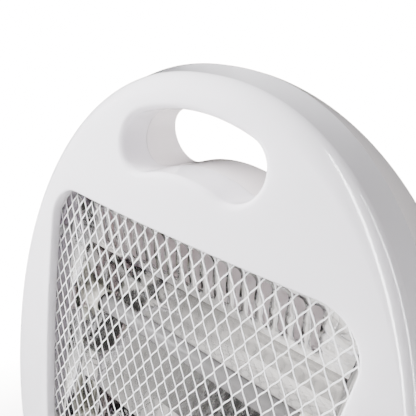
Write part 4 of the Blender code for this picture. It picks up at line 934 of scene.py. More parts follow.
def front_frame():
    """The front shell with its bosses."""
    holes = [window_chain(), handle_chain(face_y, 1.0, HANDLE_LIP, 6, -GAP / 2.0, 0.0)]
    half_x = SWITCH_HALF_WIDTH + GAP
    half_z = SWITCH_HALF_TALL + GAP + SWITCH_LEAN_ROOM
    for _, x in switch_places():
        points = rounded_rectangle(x, SWITCH_HEIGHT, half_x, half_z, GAP, 1)
        holes.append([on_surface(points, face_y), on_surface(points, behind(face_y, WALL))])
    bm = bmesh.new()
    add_shell(bm, front_edge(), holes, face_y, behind(face_y, WALL), SKIN_SPACING)
    for places, outer, end in (
        (shell_screws(), BOSS_RADIUS, -1.5 * GAP),
        (flange_screws(), SMALL_BOSS_RADIUS, REFLECTOR_FACE - GAP),
    ):
        for x, z in places:
            root = face_y(x, z) + 0.8 * WALL
            bore = SCREW_RADIUS + GAP
            length = end - root
            profile = [(bore, 0.5 * WALL), (bore, length), (outer, length), (outer, 0.0), (bore, 0.0)]
            add_turned(bm, profile, (0.0, 1.0, 0.0), (x, root, z), WELL_SIDES)
    return finish_piece("front_frame_moulding", bm, "white_plastic", ["front_frame"], sharp=40.0)


# Rear shell

def rear_edge():
    """Loops over the rear shell's outer edge, from its back to the inside of its back."""
    chain = []
    for out, back in quarter(8):
        chain.append(body_loop(1.0, BACK_ROUND * out, behind(back_y, -BACK_ROUND * back)))
    chain += [body_loop(1.0, inset, level(GAP / 2.0)) for inset in (0.0, WALL)]
    chain.append(body_loop(1.0, WALL, behind(back_y, -BACK_ROUND)))
    chain.append(body_loop(1.0, BACK_ROUND, behind(back_y, -WALL)))
    return chain


def louvre_chain(x, z):
    """Loops through the back at one louvre, its outer edge rounded."""
    chain = []
    for out, back in quarter(3):
        points = louvre_points(x, z, LOUVRE_EDGE * out)
        chain.append(on_surface(points, behind(back_y, -LOUVRE_EDGE * back)))
    chain.append(on_surface(louvre_points(x, z, 0.0), behind(back_y, -WALL)))
    return chain


def circle_points(x, z, radius, segments=WELL_SIDES):
    """(x, z) points round a circle."""
    return [(px, pz) for px, _, pz in circle((x, 0.0, z), radius, segments)]


def well_chain(x, z):
    """Loops down a screw well in the back, through its floor and up its outside."""
    head = SCREW_HEAD_RADIUS + GAP
    shank = SCREW_RADIUS + GAP
    end = 1.5 * GAP
    chain = []
    for margin, sink in WELL_RIM:
        chain.append(on_surface(circle_points(x, z, head + margin), behind(back_y, -sink)))
    for radius, y in ((head, WELL_FLOOR), (shank, WELL_FLOOR), (shank, end), (BOSS_RADIUS, end)):
        chain.append(circle((x, y, z), radius, WELL_SIDES))
    chain.append(on_surface(circle_points(x, z, BOSS_RADIUS), behind(back_y, -WALL)))
    return chain


def rear_shell():
    """The back shell with its louvres, handle sleeve, screw wells and the gland's hole."""
    holes = [handle_chain(back_y, -1.0, HANDLE_BACK_LIP, 8, GAP / 2.0, 1.0)]
    for _, side in SIDES:
        for row in range(LOUVRE_ROWS):
            holes.append(louvre_chain(side * LOUVRE_BANK, BODY_FOOT + LOUVRE_RISE + LOUVRE_PITCH * row))
    holes += [well_chain(x, z) for x, z in shell_screws()]
    points = circle_points(0.0, GLAND_HEIGHT, GLAND_RADIUS + GAP, 32)
    holes.append([on_surface(points, back_y), on_surface(points, behind(back_y, -WALL))])
    bm = bmesh.new()
    add_shell(bm, rear_edge(), holes, back_y, behind(back_y, -WALL), SKIN_SPACING)
    # Its plastic carries the painted warm shade tint
    return finish_piece(
        "rear_shell_moulding", bm, "white_plastic", ["rear_shell"], sharp=40.0, material=WARM_SHADE_REAR_PLASTIC
    )


# Guard

def mesh_point(across, down):
    """(x, z) of a place on the mesh, counted in half diamonds."""
    turn = math.radians(MESH_TURN)
    u = MESH_HALF_WIDE * across
    v = -MESH_HALF_TALL * down
    x = u * math.cos(turn) + v * math.sin(turn) + MESH_SHIFT
    return x, v * math.cos(turn) - u * math.sin(turn) + FACE_BOW_HEIGHT


def strand_share(t):
    """How far across a strand is at t along it: upright near both knots."""
    return t - STRAND_CURVE * math.sin(math.tau * t) / math.tau


def guard():
    """The expanded-metal mesh: knots joined by strands, one connected sheet."""
    outline = window_loop(MESH_MARGIN, level(0.0))
    wide = KNOT_HALF_WIDE / MESH_HALF_WIDE
    tall = KNOT_HALF_TALL / MESH_HALF_TALL
    knots = set()
    for row in range(-MESH_REACH, MESH_REACH + 1):
        for column in range(-MESH_REACH, MESH_REACH + 1):
            x, z = mesh_point(column, row)
            if (row + column) % 2 == 0 and inside(x, z, outline):
                knots.add((column, row))
    bm = bmesh.new()
    made = {}

    def pair(across, down):
        """The front and back vertices at a place."""
        key = (round(across, 5), round(down, 5))
        if key not in made:
            x, z = mesh_point(across, down)
            y = guard_y(x, z)
            made[key] = (
                bm.verts.new((x, y - GUARD_SHEET / 2.0, z)),
                bm.verts.new((x, y + GUARD_SHEET / 2.0, z)),
            )
        return made[key]

    def slab(corners, walls):
        """Front and back faces over four places, with side walls on the listed edges."""
        front = [pair(*c)[0] for c in corners]
        back = [pair(*c)[1] for c in corners]
        bm.faces.new(front)
        bm.faces.new(list(reversed(back)))
        for i in walls:
            j = (i + 1) % len(corners)
            bm.faces.new((front[i], back[i], back[j], front[j]))

    arms = {}
    for column, row in knots:
        for side in (-1, 1):
            if (column + side, row + 1) in knots:
                arms.setdefault((column, row), set()).add((side, 1))
                arms.setdefault((column + side, row + 1), set()).add((-side, -1))
                outer = ((column + side * wide, row), (column + side, row + 1 - tall))
                inner = ((column, row + tall), (column + side - side * wide, row + 1))
                for i in range(STRAND_STEPS):
                    corners = []
                    for (begin, end), t in ((outer, i), (outer, i + 1), (inner, i + 1), (inner, i)):
                        t = t / STRAND_STEPS
                        across = begin[0] + (end[0] - begin[0]) * strand_share(t)
                        corners.append((across, begin[1] + (end[1] - begin[1]) * t))
                    slab(corners, (0, 2))
    for (column, row), joined in arms.items():
        corners = (
            (column, row - tall), (column + wide, row), (column, row + tall), (column - wide, row),
        )
        ends = ((1, -1), (1, 1), (-1, 1), (-1, -1))
        slab(corners, [i for i in range(4) if ends[i] not in joined])
    return finish_piece("guard_mesh", bm, "guard_enamel", ["mesh_guard"], sharp=50.0)


# Reflector

def trough_y(name, z):
    """Depth of a trough's parabola."""
    across = (z - TUBE_HEIGHTS[name]) / TROUGH_HALF
    return TROUGH_BACK - TROUGH_DEPTH * across * across


def panel_y(x, z):
    """Depth of the vented panel, which slopes from the flange to the upper trough."""
    return REFLECTOR_FACE + PANEL_DEPTH * (PANEL_TOP - z) / (PANEL_TOP - PANEL_BOTTOM)


def dented_panel_y(x, z):
    """The vented panel with its dents, deepest at its upper right corner."""
    share = ramp(x, CORNER_LEFT, 20.0) * ramp(z, PANEL_BOTTOM, 12.0)
    dent = noise.noise(Vector((0.11 * x, 7.0, 0.13 * z)))
    return panel_y(x, z) + (PANEL_DENT + CORNER_DENT * share) * dent


def slot_points(x):
    """(x, z) points of a vent: round on top, narrow in its middle, a drop at the bottom."""
    top = SLOT_TOP - SLOT_TOP_RADIUS
    bottom = SLOT_BOTTOM + SLOT_BOTTOM_RADIUS
    waist = bottom + SLOT_WAIST_SHARE * (top - bottom)
    right = []
    corner(right, (0.0, top), SLOT_TOP_RADIUS, 90.0, 0.0, 6)
    for first, half, begin, next_half, end in (
        (1, SLOT_TOP_RADIUS, top, SLOT_WAIST, waist),
        (0, SLOT_WAIST, waist, SLOT_BOTTOM_RADIUS, bottom),
    ):
        for i in range(first, 5):
            right.append((half + (next_half - half) * eased(i / 5), begin + (end - begin) * i / 5))
    corner(right, (0.0, bottom), SLOT_BOTTOM_RADIUS, 0.0, -90.0, 6)
    left = [(-px, pz) for px, pz in reversed(right[1:-1])]
    return [(x + px, pz) for px, pz in right + left]


def sheet_rows():
    """(y, z) of the reflector sheet below its vented panel, from the top down."""
    rows = []
    for name in ("upper", "lower"):
        for step in range(TROUGH_STEPS + 1):
            z = TUBE_HEIGHTS[name] + TROUGH_HALF * (1.0 - 2.0 * step / TROUGH_STEPS)
            rows.append((trough_y(name, z), z))
    return rows + [(REFLECTOR_FACE, SHELF_FRONT), (REFLECTOR_FACE, SHELF_FRONT - BOTTOM_FLANGE)]


def reflector():
    """The folded sheet: top flange, vented panel, two troughs and bottom flange."""
    columns = 2 * int(plate_half(PANEL_BOTTOM) / COLUMN)
    bm = bmesh.new()

    def row_of(y, z):
        half = plate_half(z) - GAP
        return [bm.verts.new((half * (2.0 * i / columns - 1.0), y, z)) for i in range(columns + 1)]

    def strip(upper, lower):
        for i in range(columns):
            bm.faces.new((upper[i], upper[i + 1], lower[i + 1], lower[i]))

    flange = row_of(REFLECTOR_FACE, PANEL_TOP + TOP_FLANGE)
    top = row_of(REFLECTOR_FACE, PANEL_TOP)
    strip(flange, top)
    rows = [row_of(y, z) for y, z in sheet_rows()]
    for upper, lower in zip(rows[:-1], rows[1:]):
        strip(upper, lower)
    outer = list(reversed(top)) + rows[0]
    pairs = int((plate_half(SLOT_BOTTOM) - SLOT_END) / SLOT_PITCH)
    slots = []
    for i in range(2 * pairs):
        points = slot_points(SLOT_PITCH * (i - pairs + 0.5))
        slots.append([bm.verts.new(p) for p in on_surface(points, dented_panel_y)])
    fill_skin(bm, [outer] + slots, dented_panel_y, PANEL_SPACING)
    piece = finish_piece("reflector_sheet", bm, "polished_aluminium", ["reflector"], sharp=20.0)
    thicken(piece, (0.0, 1.0, 0.0))


def thicken(piece, toward):
    """Gives an open sheet its thickness, on the side that toward points to."""
    facing = sum(face.normal.dot(Vector(toward)) * face.area for face in piece.data.polygons)
    solid = piece.modifiers.new("sheet", "SOLIDIFY")
    solid.thickness = FOIL * MM
    solid.offset = 1.0 if facing > 0.0 else -1.0
    solid.use_even_offset = True


def plate_outline():
    """(y, z) outline of an end plate with its notches, from the top front corner round."""
    radius = CAP_RADIUS + GAP
    points = [(REFLECTOR_FACE, PANEL_TOP + PLATE_FOLD)]
    for name in ("upper", "lower"):
        height = TUBE_HEIGHTS[name]
        points.append((REFLECTOR_FACE, height + radius))
        corner(points, (TUBE_Y, height), radius, 90.0, -90.0, 12)
        points.append((REFLECTOR_FACE, height - radius))
    rear = TROUGH_BACK + SHEET
    low = SHELF_FRONT - PLATE_FOLD
    return points + [(REFLECTOR_FACE, low), (rear, low), (rear, PANEL_BOTTOM)]


def reflector_end(name, side):
    """An end plate and its outward flange, which is slightly buckled at its top corner."""
    bm = bmesh.new()
    outline = [Vector((y, z)) for y, z in plate_outline()]
    edges = [(i, (i + 1) % len(outline)) for i in range(len(outline))]
    flat, _, faces, _, _, _ = delaunay_2d_cdt(outline, edges, [], 1, 1e-7)
    verts = [bm.verts.new((side * plate_half(p.y), p.x, p.y)) for p in flat]
    for face in faces:
        bm.faces.new([verts[i] for i in face])
    plate = finish_piece(
        "reflector_end_plate_" + name, bm, "polished_aluminium", ["reflector_end_" + name], sharp=20.0
    )
    thicken(plate, (side, 0.0, 0.0))
    flange(name, side)


def buckle(x, z):
    """How far the flange's upper end is crinkled."""
    share = ramp(z, PANEL_BOTTOM - 10.0, 25.0)
    return FLANGE_DENT * share * noise.noise(Vector((0.16 * x, 3.0, 0.16 * z)))


def flange(name, side):
    """The end plate's outward flange behind the guard."""
    bm = bmesh.new()
    shoulder = PANEL_TOP - FLANGE_SHOULDER
    grid = []
    for i in range(FLANGE_ROWS + 1):
        z = SHELF_FRONT + (PANEL_TOP - SHELF_FRONT) * i / FLANGE_ROWS
        cut = max(0.0, (z - shoulder) / FLANGE_SHOULDER)
        width = FLANGE_WIDTH - (FLANGE_WIDTH - PLATE_FOLD) * cut
        line = []
        for j in range(FLANGE_COLUMNS + 1):
            x = side * (plate_half(z) + width * j / FLANGE_COLUMNS)
            line.append(bm.verts.new((x, REFLECTOR_FACE + buckle(x, z) * min(1.0, j / 2.0), z)))
        grid.append(line)
    for lower, upper in zip(grid[:-1], grid[1:]):
        for j in range(FLANGE_COLUMNS):
            bm.faces.new((lower[j], lower[j + 1], upper[j + 1], upper[j]))
    piece = finish_piece("reflector_flange_" + name, bm, "polished_aluminium", sharp=20.0)
    thicken(piece, (0.0, 1.0, 0.0))


# Heater bars

def tube_profile(half):
    """A tube's section with its ends melted round."""
    middle = (TUBE_RADIUS + TUBE_BORE) / 2.0
    radius = (TUBE_RADIUS - TUBE_BORE) / 2.0
    points = []
    corner(points, (middle, half - radius), radius, 0.0, 180.0, 6)
    corner(points, (middle, radius - half), radius, 180.0, 360.0, 6)
    return points


def coil(name, half, height):
    """The wound resistance wire in a tube."""
    turns = int(2.0 * half / COIL_PITCH)
    curve = bpy.data.curves.new("coil_" + name, "CURVE")
    curve.dimensions = "3D"
    curve.bevel_depth = COIL_WIRE * MM
    curve.bevel_resolution = 1
    curve.use_fill_caps = True
    path = curve.splines.new("POLY")
    count = turns * COIL_POINTS
    path.points.add(count)
    for i in range(count + 1):
        angle = math.tau * i / COIL_POINTS
        x = -half + 2.0 * half * i / count
        point = (x, TUBE_Y + COIL_RADIUS * math.cos(angle), height + COIL_RADIUS * math.sin(angle))
        path.points[i].co = (*in_frame(point), 1.0)
    piece = new_object("heating_coil_wound_" + name, curve)
    dress(piece, "resistance_wire", ["heating_coil_" + name], "heater")


def cap_profile(inner, outer, tube_half):
    """A ceramic end cap's section: chamfered mouth, a shallow groove and a stepped bore."""
    socket = TUBE_RADIUS + GAP
    floor = tube_half + GAP
    groove = inner + CAP_GROOVE_SHARE * (outer - inner)
    step = inner + CAP_MOUTH_DEPTH
    points = [(CAP_MOUTH + 0.1, inner), (CAP_RADIUS - CAP_CHAMFER - 0.1, inner)]
    corner(points, (CAP_RADIUS - CAP_CHAMFER, inner + CAP_CHAMFER), CAP_CHAMFER, -90.0, 0.0, 3)
    for depth, along in ((0.0, -0.8), (CAP_GROOVE_DEPTH, -0.4), (CAP_GROOVE_DEPTH, 0.4), (0.0, 0.8)):
        points.append((CAP_RADIUS - depth, groove + along))
    corner(points, (CAP_RADIUS - CAP_ROUND, outer - CAP_ROUND), CAP_ROUND, 0.0, 90.0, 3)
    points += [(CAP_HOLE, outer), (CAP_HOLE, floor), (socket, floor), (socket, step)]
    return points + [(CAP_MOUTH, step), (CAP_MOUTH, inner + 0.1)]


def heater_bar(name, height):
    """A tube, its coil and its two end caps."""
    inner = plate_half(height) - CAP_INSIDE
    outer = plate_half(height) + CAP_OUTSIDE
    tube_half = inner + CAP_GRIP
    place = (0.0, TUBE_Y, height)
    bm = bmesh.new()
    add_turned(bm, tube_profile(tube_half), (1.0, 0.0, 0.0), place)
    finish_piece("quartz_glass_" + name, bm, "milky_quartz", ["quartz_tube_" + name])
    coil(name, tube_half - COIL_END, height)
    for side_name, side in SIDES:
        bm = bmesh.new()
        add_turned(bm, cap_profile(inner, outer, tube_half), (side, 0.0, 0.0), place)
        label = name + "_" + side_name
        finish_piece("ceramic_cap_" + label, bm, "cream_ceramic", ["tube_cap_" + label])


# Screws

def cross_points(arm, half):
    """(x, z) points of a cross recess."""
    points = []
    for k in range(4):
        cosine = math.cos(math.radians(90.0 * k))
        sine = math.sin(math.radians(90.0 * k))
        for u, v in ((half, half), (half, arm), (-half, arm)):
            points.append((u * cosine - v * sine, u * sine + v * cosine))
    return list(reversed(points))


def screw(name, node, place, axis, length):
    """A pan-head screw with a cross recess. Its shank runs along axis from place."""
    bm = bmesh.new()
    top = -SCREW_HEAD_HEIGHT
    sunk = []
    for points, y in ((cross_points(*CROSS_TOP), top), (cross_points(*CROSS_FLOOR), top + CROSS_DEPTH)):
        sunk.append([bm.verts.new((x, y, z)) for x, z in points])
    bridge(bm, sunk)
    bm.faces.new(sunk[-1])
    sections = [(SCREW_HEAD_RADIUS * share, top + SCREW_HEAD_HEIGHT * drop) for share, drop in PAN_HEAD]
    sections += [(SCREW_RADIUS, 0.0), (SCREW_RADIUS, length - SCREW_POINT), (SCREW_TIP_RADIUS, length)]
    made = add_loops(bm, [circle((0.0, y, 0.0), radius, SCREW_SIDES) for radius, y in sections])
    bm.faces.new(made[-1])
    fill_skin(bm, [made[0], sunk[0]], level(top), 0.0)
    turn = Vector((0.0, 1.0, 0.0)).rotation_difference(Vector(axis)).to_matrix().to_4x4()
    finish_piece(name, bm, "steel", [node], place=Matrix.Translation(place) @ turn)


def screws():
    """The screws that show: six in the back's wells and four under the base."""
    head = WELL_FLOOR + GAP
    for i, (x, z) in enumerate(shell_screws()):
        tip = max(head - SCREW_LENGTH, face_y(x, z) + WALL + 2.0 * GAP)
        number = str(i + 1)
        screw("back_screw_" + number, "shell_screw_" + number, (x, head, z), (0.0, -1.0, 0.0), head - tip)
    x = BASE_HALF_WIDTH - BASE_SCREW_INSET_X
    y = BASE_HALF_DEPTH - BASE_SCREW_INSET_Y
    z = BASE_BOTTOM + PLATE_RAISE - GAP
    spots = [(sx * x, BASE_CENTRE_Y + sy * y, z) for sx in (-1.0, 1.0) for sy in (-1.0, 1.0)]
    for i, place in enumerate(spots):
        number = str(i + 1)
        screw("bottom_screw_" + number, "base_screw_" + number, place, (0.0, 0.0, 1.0), SCREW_LENGTH)


# Switches

def housing(name, x):
    """A switch housing with its rounded bezel and pocket."""
    width = SWITCH_HALF_WIDTH - SWITCH_WALL
    reach = ROCKER_RADIUS + POCKET_ROOM
    mouth = math.sqrt(reach ** 2 - (ROCKER_PIVOT_DEPTH + BEZEL_THICKNESS) ** 2)
    wide = SWITCH_HALF_WIDTH + BEZEL_BORDER
    tall = SWITCH_HALF_TALL + BEZEL_BORDER
    # Each section's half width, half height, corner radius and depth
    sections = [(SWITCH_HALF_WIDTH, SWITCH_HALF_TALL, 0.6, y) for y in (SWITCH_DEPTH, 0.0)]
    for inset, share in BEZEL_ROUND:
        sections.append((wide - inset, tall - inset, BEZEL_RADIUS - inset, -share * BEZEL_THICKNESS))
    sections += [
        (width + 0.2, mouth + 0.2, 0.4, -BEZEL_THICKNESS),
        (width, mouth, 0.2, 0.2 - BEZEL_THICKNESS),
        (width, reach - 0.4, 0.2, ROCKER_PIVOT_DEPTH),
        (width, 0.55 * reach, 0.2, ROCKER_PIVOT_DEPTH + 0.85 * reach),
    ]
    loops = [
        on_surface(rounded_rectangle(0.0, 0.0, half_x, half_z, radius), level(y))
        for half_x, half_z, radius, y in sections
    ]
    bm = bmesh.new()
    add_loops(bm, loops, closed_ends=True)
    node = "switch_housing_" + name
    finish_piece("switch_case_" + name, bm, "black_plastic", [node], place=switch_frame(x))


def rocker_face(z, shrink=0.0):
    """Depth of the rocker's hollowed face."""
    return ROCKER_CREST + shrink + ROCKER_HOLLOW * (1.0 - (z / (ROCKER_RADIUS - shrink)) ** 2)


def rocker_loop(x, shrink):
    """The side outline of a rocker, shrunk a little for its rounded ends."""
    radius = ROCKER_RADIUS - shrink
    points = []
    for i in range(21):
        angle = math.radians(-80.0 + 8.0 * i)
        points.append((x, radius * math.cos(angle), radius * math.sin(angle)))
    for i in range(13):
        z = radius * (1.0 - i / 6.0)
        points.append((x, rocker_face(z, shrink), z))
    return points


def rocker(name, x):
    """A rocker with a hollowed face and its two plain markings."""
    half = SWITCH_HALF_WIDTH - SWITCH_WALL - RUNNING
    loops = [rocker_loop(along - half, shrink) for along, shrink in ROCKER_ENDS]
    loops += [rocker_loop(half - along, shrink) for along, shrink in reversed(ROCKER_ENDS)]
    bm = bmesh.new()
    add_loops(bm, loops, closed_ends=True)
    tilt = Matrix.Rotation(math.radians(-ROCKER_HALF_TRAVEL), 4, "X")
    place = switch_frame(x) @ Matrix.Translation((0.0, ROCKER_PIVOT_DEPTH, 0.0)) @ tilt
    body = name + "_rocker"
    finish_piece("rocker_button_" + name, bm, "black_plastic", ["rocker_" + name], body=body, place=place)
    markings(name, body, place)


def markings(name, body, place):
    """A bar on the end that switches on and a ring on the end that switches off."""
    bar = bmesh.new()
    points = rounded_rectangle(0.0, -MARK_HEIGHT, BAR_HALF, MARK_HALF, 0.2, 3)
    loops = [[(px, rocker_face(pz) + lift, pz) for px, pz in points] for lift in (MARK_SUNK, -MARK_RAISED)]
    add_loops(bar, loops, closed_ends=True)
    finish_piece("marking_on_" + name, bar, None, body=body, place=place, material=MARKING)
    ring = bmesh.new()
    loops = []
    for radius, lift in (
        (MARK_HALF, MARK_SUNK), (MARK_HALF, -MARK_RAISED), (RING_HOLE, -MARK_RAISED), (RING_HOLE, MARK_SUNK),
    ):
        points = circle_points(0.0, MARK_HEIGHT, radius, 28)
        loops.append([(px, rocker_face(pz) + lift, pz) for px, pz in points])
    add_loops(ring, loops + [loops[0]])
    bmesh.ops.remove_doubles(ring, verts=ring.verts, dist=1e-5)
    finish_piece("marking_off_" + name, ring, None, body=body, place=place, material=MARKING)


# Gland, base and feet

def cord_gland():
    """The strain-relief bush with its ribs."""
    begin = GAP + GLAND_FLANGE_DEPTH
    tip = GLAND_BORE + GLAND_LIP
    pitch = (GLAND_OUTSIDE - begin) / GLAND_RIBS
    points = [(GLAND_BORE, -GLAND_INSIDE), (GLAND_RADIUS, -GLAND_INSIDE), (GLAND_RADIUS, GAP)]
    points += [(GLAND_FLANGE - GLAND_RIM, GAP)]
    corner(points, (GLAND_FLANGE - GLAND_RIM, GAP + GLAND_RIM), GLAND_RIM, -90.0, 0.0, 3)
    corner(points, (GLAND_FLANGE - GLAND_ROUND, begin - GLAND_ROUND), GLAND_ROUND, 0.0, 90.0, 4)
    for i in range(GLAND_RIBS):
        for share, drop in GLAND_RIB:
            along = pitch * (i + share)
            radius = GLAND_RADIUS + (tip - GLAND_RADIUS) * along / (GLAND_OUTSIDE - begin)
            points.append((radius - drop, begin + along))
    points += [(tip, GLAND_OUTSIDE - 0.4), (tip - 0.3, GLAND_OUTSIDE), (GLAND_BORE, GLAND_OUTSIDE)]
    bm = bmesh.new()
    add_turned(bm, points, (0.0, 1.0, 0.0), (0.0, back_y(0.0, GLAND_HEIGHT), GLAND_HEIGHT))
    finish_piece("cord_bush", bm, "black_plastic", ["cord_gland"])


def base_loop(shrink, z, inset=0.0, steps=144):
    """The base outline at a height, shrunk by a share of its taper."""
    half_x = BASE_HALF_WIDTH - BASE_SHRINK_X * shrink - inset
    half_y = BASE_HALF_DEPTH - BASE_SHRINK_Y * shrink - inset
    points = []
    for i in range(steps):
        angle = math.tau * i / steps
        x = half_x * math.copysign(abs(math.cos(angle)) ** (2.0 / BASE_POWER), math.cos(angle))
        y = half_y * math.copysign(abs(math.sin(angle)) ** (2.0 / BASE_POWER), math.sin(angle))
        points.append((x, BASE_CENTRE_Y + y, z))
    return points


def base():
    """The foot moulding: an oval shell with a rounded shoulder over a short skirt."""
    skirt = BASE_BOTTOM + BASE_SKIRT
    outer = [base_loop(0.0, BASE_BOTTOM, BASE_CHAMFER), base_loop(0.0, BASE_BOTTOM + BASE_CHAMFER)]
    outer.append(base_loop(0.0, skirt))
    outer += [base_loop(back, BASE_TOP - (BASE_TOP - skirt) * out) for out, back in quarter(16)[1:]]
    roof = BASE_TOP - BASE_WALL
    inner = [base_loop(0.0, BASE_BOTTOM, BASE_WALL), base_loop(0.0, skirt, BASE_WALL)]
    inner += [base_loop(back, roof - (roof - skirt) * out, BASE_WALL) for out, back in quarter(8)[1:]]
    bm = bmesh.new()
    add_loops(bm, list(reversed(outer)) + inner, closed_ends=True)
    finish_piece("base_moulding", bm, "white_plastic", ["base"], sharp=40.0)


def rubber_feet():
    """Four feet, each with a dished underside."""
    top = BASE_BOTTOM + PLATE_RAISE - GAP
    points = list(FOOT_DISH)
    corner(points, (FOOT_RADIUS - FOOT_CHAMFER, FOOT_CHAMFER), FOOT_CHAMFER, -90.0, 0.0, 4)
    points += [(FOOT_RADIUS, top), (0.0, top)]
    x = BASE_HALF_WIDTH - FOOT_INSET_X
    y = BASE_HALF_DEPTH - FOOT_INSET_Y
    for name, side in SIDES:
        for end_name, end in (("front", -1.0), ("rear", 1.0)):
            label = end_name + "_" + name
            bm = bmesh.new()
            add_turned(bm, points, (0.0, 0.0, 1.0), (side * x, BASE_CENTRE_Y + end * y, 0.0), 40)
            finish_piece("dished_foot_" + label, bm, "black_rubber", ["rubber_foot_" + label])


# Camera and studio

CAMERA_PLACE = (0.11937, -0.17410, 0.34432)
CAMERA_RIGHT = (0.766161, 0.618161, 0.175713)
CAMERA_UP = (-0.289737, 0.088205, 0.953033)
CAMERA_FORWARD = (-0.573629, 0.781087, -0.246683)
PHOTO_SIDE = 416.0
FOCAL_PIXELS = 450.0
SENSOR = 36.0


def camera():
    """The photograph's camera."""
    data = bpy.data.cameras.new("photo_camera")
    data.sensor_width = SENSOR
    data.lens = FOCAL_PIXELS / PHOTO_SIDE * SENSOR
    data.clip_start = 0.01
    made = new_object("photo_camera", data)
    turn = Matrix((CAMERA_RIGHT, CAMERA_UP, [-v for v in CAMERA_FORWARD])).transposed()
    made.matrix_world = Matrix.Translation(CAMERA_PLACE) @ turn.to_4x4()
    bpy.context.scene.camera = made


def studio_light(name, place, aim, size, power, mirrors=()):
    """A studio light: a plain one only lights, one with mirrors only shines in those pieces."""
    data = bpy.data.lights.new(name, "AREA")
    data.shape = "RECTANGLE"
    data.size, data.size_y = size
    data.energy = power
    data.color = LAMP_TINT
    made = new_object(name, data)
    turn = (Vector(aim) - Vector(place)).to_track_quat("-Z", "Y").to_matrix().to_4x4()
    made.matrix_world = Matrix.Translation(place) @ turn
    made.visible_camera = False
    made.visible_glossy = bool(mirrors)
    made.visible_diffuse = not mirrors
    if mirrors:
        receivers = bpy.data.collections.new(name + "_receivers")
        for piece in mirrors:
            receivers.objects.link(piece)
        made.light_linking.receiver_collection = receivers


def smooth_range(tree, value, ends, low, high):
    """A value that runs smoothly from low to high while another runs between two ends."""
    node = tree.nodes.new("ShaderNodeMapRange")
    node.interpolation_type = "SMOOTHSTEP"
    tree.links.new(value, node.inputs["Value"])
    for label, number in zip(("From Min", "From Max", "To Min", "To Max"), (*ends, low, high)):
        node.inputs[label].default_value = number
    return node.outputs["Result"]


ROOM_LIGHT = 0.5              # the bright side of the studio
RIGHT_SHARE = 1.3             # how bright its right side is beside that
RIGHT_RANGE = (-0.1, 0.6)     # the range of the direction's x or z over which a tone changes
CEILING_SHARE = 0.04          # how bright its ceiling in front is
CEILING_RANGE = (-0.05, 0.35)
BACKDROP_LIGHT = 18.0         # plain white in the picture
PAPER_GLOW = 0.25
WHITE_RANGE = (0.14, 0.42)    # metres from the heater's middle where the paper turns white
MIRRORED_FLOOR = 1.5          # the studio as polished metal shows it
MIRRORED_FLOOR_LEFT = 0.6
FLOOR_LEFT_RANGE = (-0.72, -0.45)
MIRRORED_FLOOR_RIGHT = 0.85
FLOOR_RIGHT_RANGE = (-0.1, 0.5)
MIRRORED_FLOOR_NEAR = 1.9     # how much brighter it is close by
NEAR_RANGE = (0.08, 0.32)     # metres
MIRRORED_FLOOR_FAR = 0.1      # how bright it is far off beside that in front
FAR_RANGE = (0.8, 1.6)        # metres
FLOOR_RANGE = (-0.3, -0.16)
MIRRORED_LEFT = 0.6
LEFT_RANGE = (-0.52, -0.36)
WALL_RANGE = (0.12, 0.36)
MIRRORED_DARK = 0.1
FILL_TINT = (1.0, 0.94, 0.915, 1.0)
LAMP_TINT = (0.975, 0.975, 1.0)
MIRRORED_TINT = (1.0, 0.965, 0.945, 1.0)

# Each lamp's place, aim, size in metres and power in watts
LAMPS = {
    "key_light": ((-0.5, -0.42, 0.6), (-0.05, 0.0, 0.25), (0.4, 0.4), 30.0),
    "top_light": ((-0.4, -0.5, 1.6), (0.0, 0.0, 0.2), (1.0, 1.0), 6.0),
    "back_light": ((-0.2, 1.6, 0.9), (0.0, 0.0, 0.2), (1.0, 1.0), 85.0),
    "side_light": ((1.15, 0.4, 0.42), (0.0, 0.0, 0.2), (0.8, 0.8), 10.0),
}
# The strips that only the shells' gloss shows
STRIPS = {
    "front_strip": ((0.355, -0.44, 0.55), (0.09, -0.03, 0.5), (0.06, 1.1), 11.0),
    "side_strip": ((0.57, -0.15, 0.53), (0.09, -0.03, 0.5), (0.03, 0.75), 3.4),
}
# Studio sweep, in metres
SWEEP_HALF_WIDTH = 3.5
SWEEP_NEAR = -3.0
SWEEP_FAR = 2.4
SWEEP_RADIUS = 0.6
SWEEP_TOP = 3.0


def mirrored_floor(tree, x):
    """How bright polished metal shows the floor: brightest in front, dimmer at both sides."""
    left = smooth_range(tree, x, FLOOR_LEFT_RANGE, MIRRORED_FLOOR_LEFT, MIRRORED_FLOOR)
    right = smooth_range(tree, x, FLOOR_RIGHT_RANGE, MIRRORED_FLOOR, MIRRORED_FLOOR_RIGHT)
    return combine_values(tree, "MINIMUM", left, right)


def mirrored_room(tree, x, z):
    """How bright polished metal shows the room: the floor below and a dim wall above."""
    wall = smooth_range(tree, x, LEFT_RANGE, MIRRORED_LEFT, 0.0)
    upper = smooth_range(tree, z, WALL_RANGE, 0.0, 1.0)
    lower = smooth_range(tree, z, FLOOR_RANGE, 1.0, 0.0)
    above = combine_values(tree, "MULTIPLY", wall, upper)
    below = combine_values(tree, "MULTIPLY", mirrored_floor(tree, x), lower)
    light = combine_values(tree, "ADD", above, below)
    return combine_values(tree, "MAXIMUM", light, MIRRORED_DARK)


def split_direction(tree, direction):
    """The x and z of a direction."""
    split = tree.nodes.new("ShaderNodeSeparateXYZ")
    tree.links.new(direction, split.inputs[0])
    return split.outputs["X"], split.outputs["Z"]


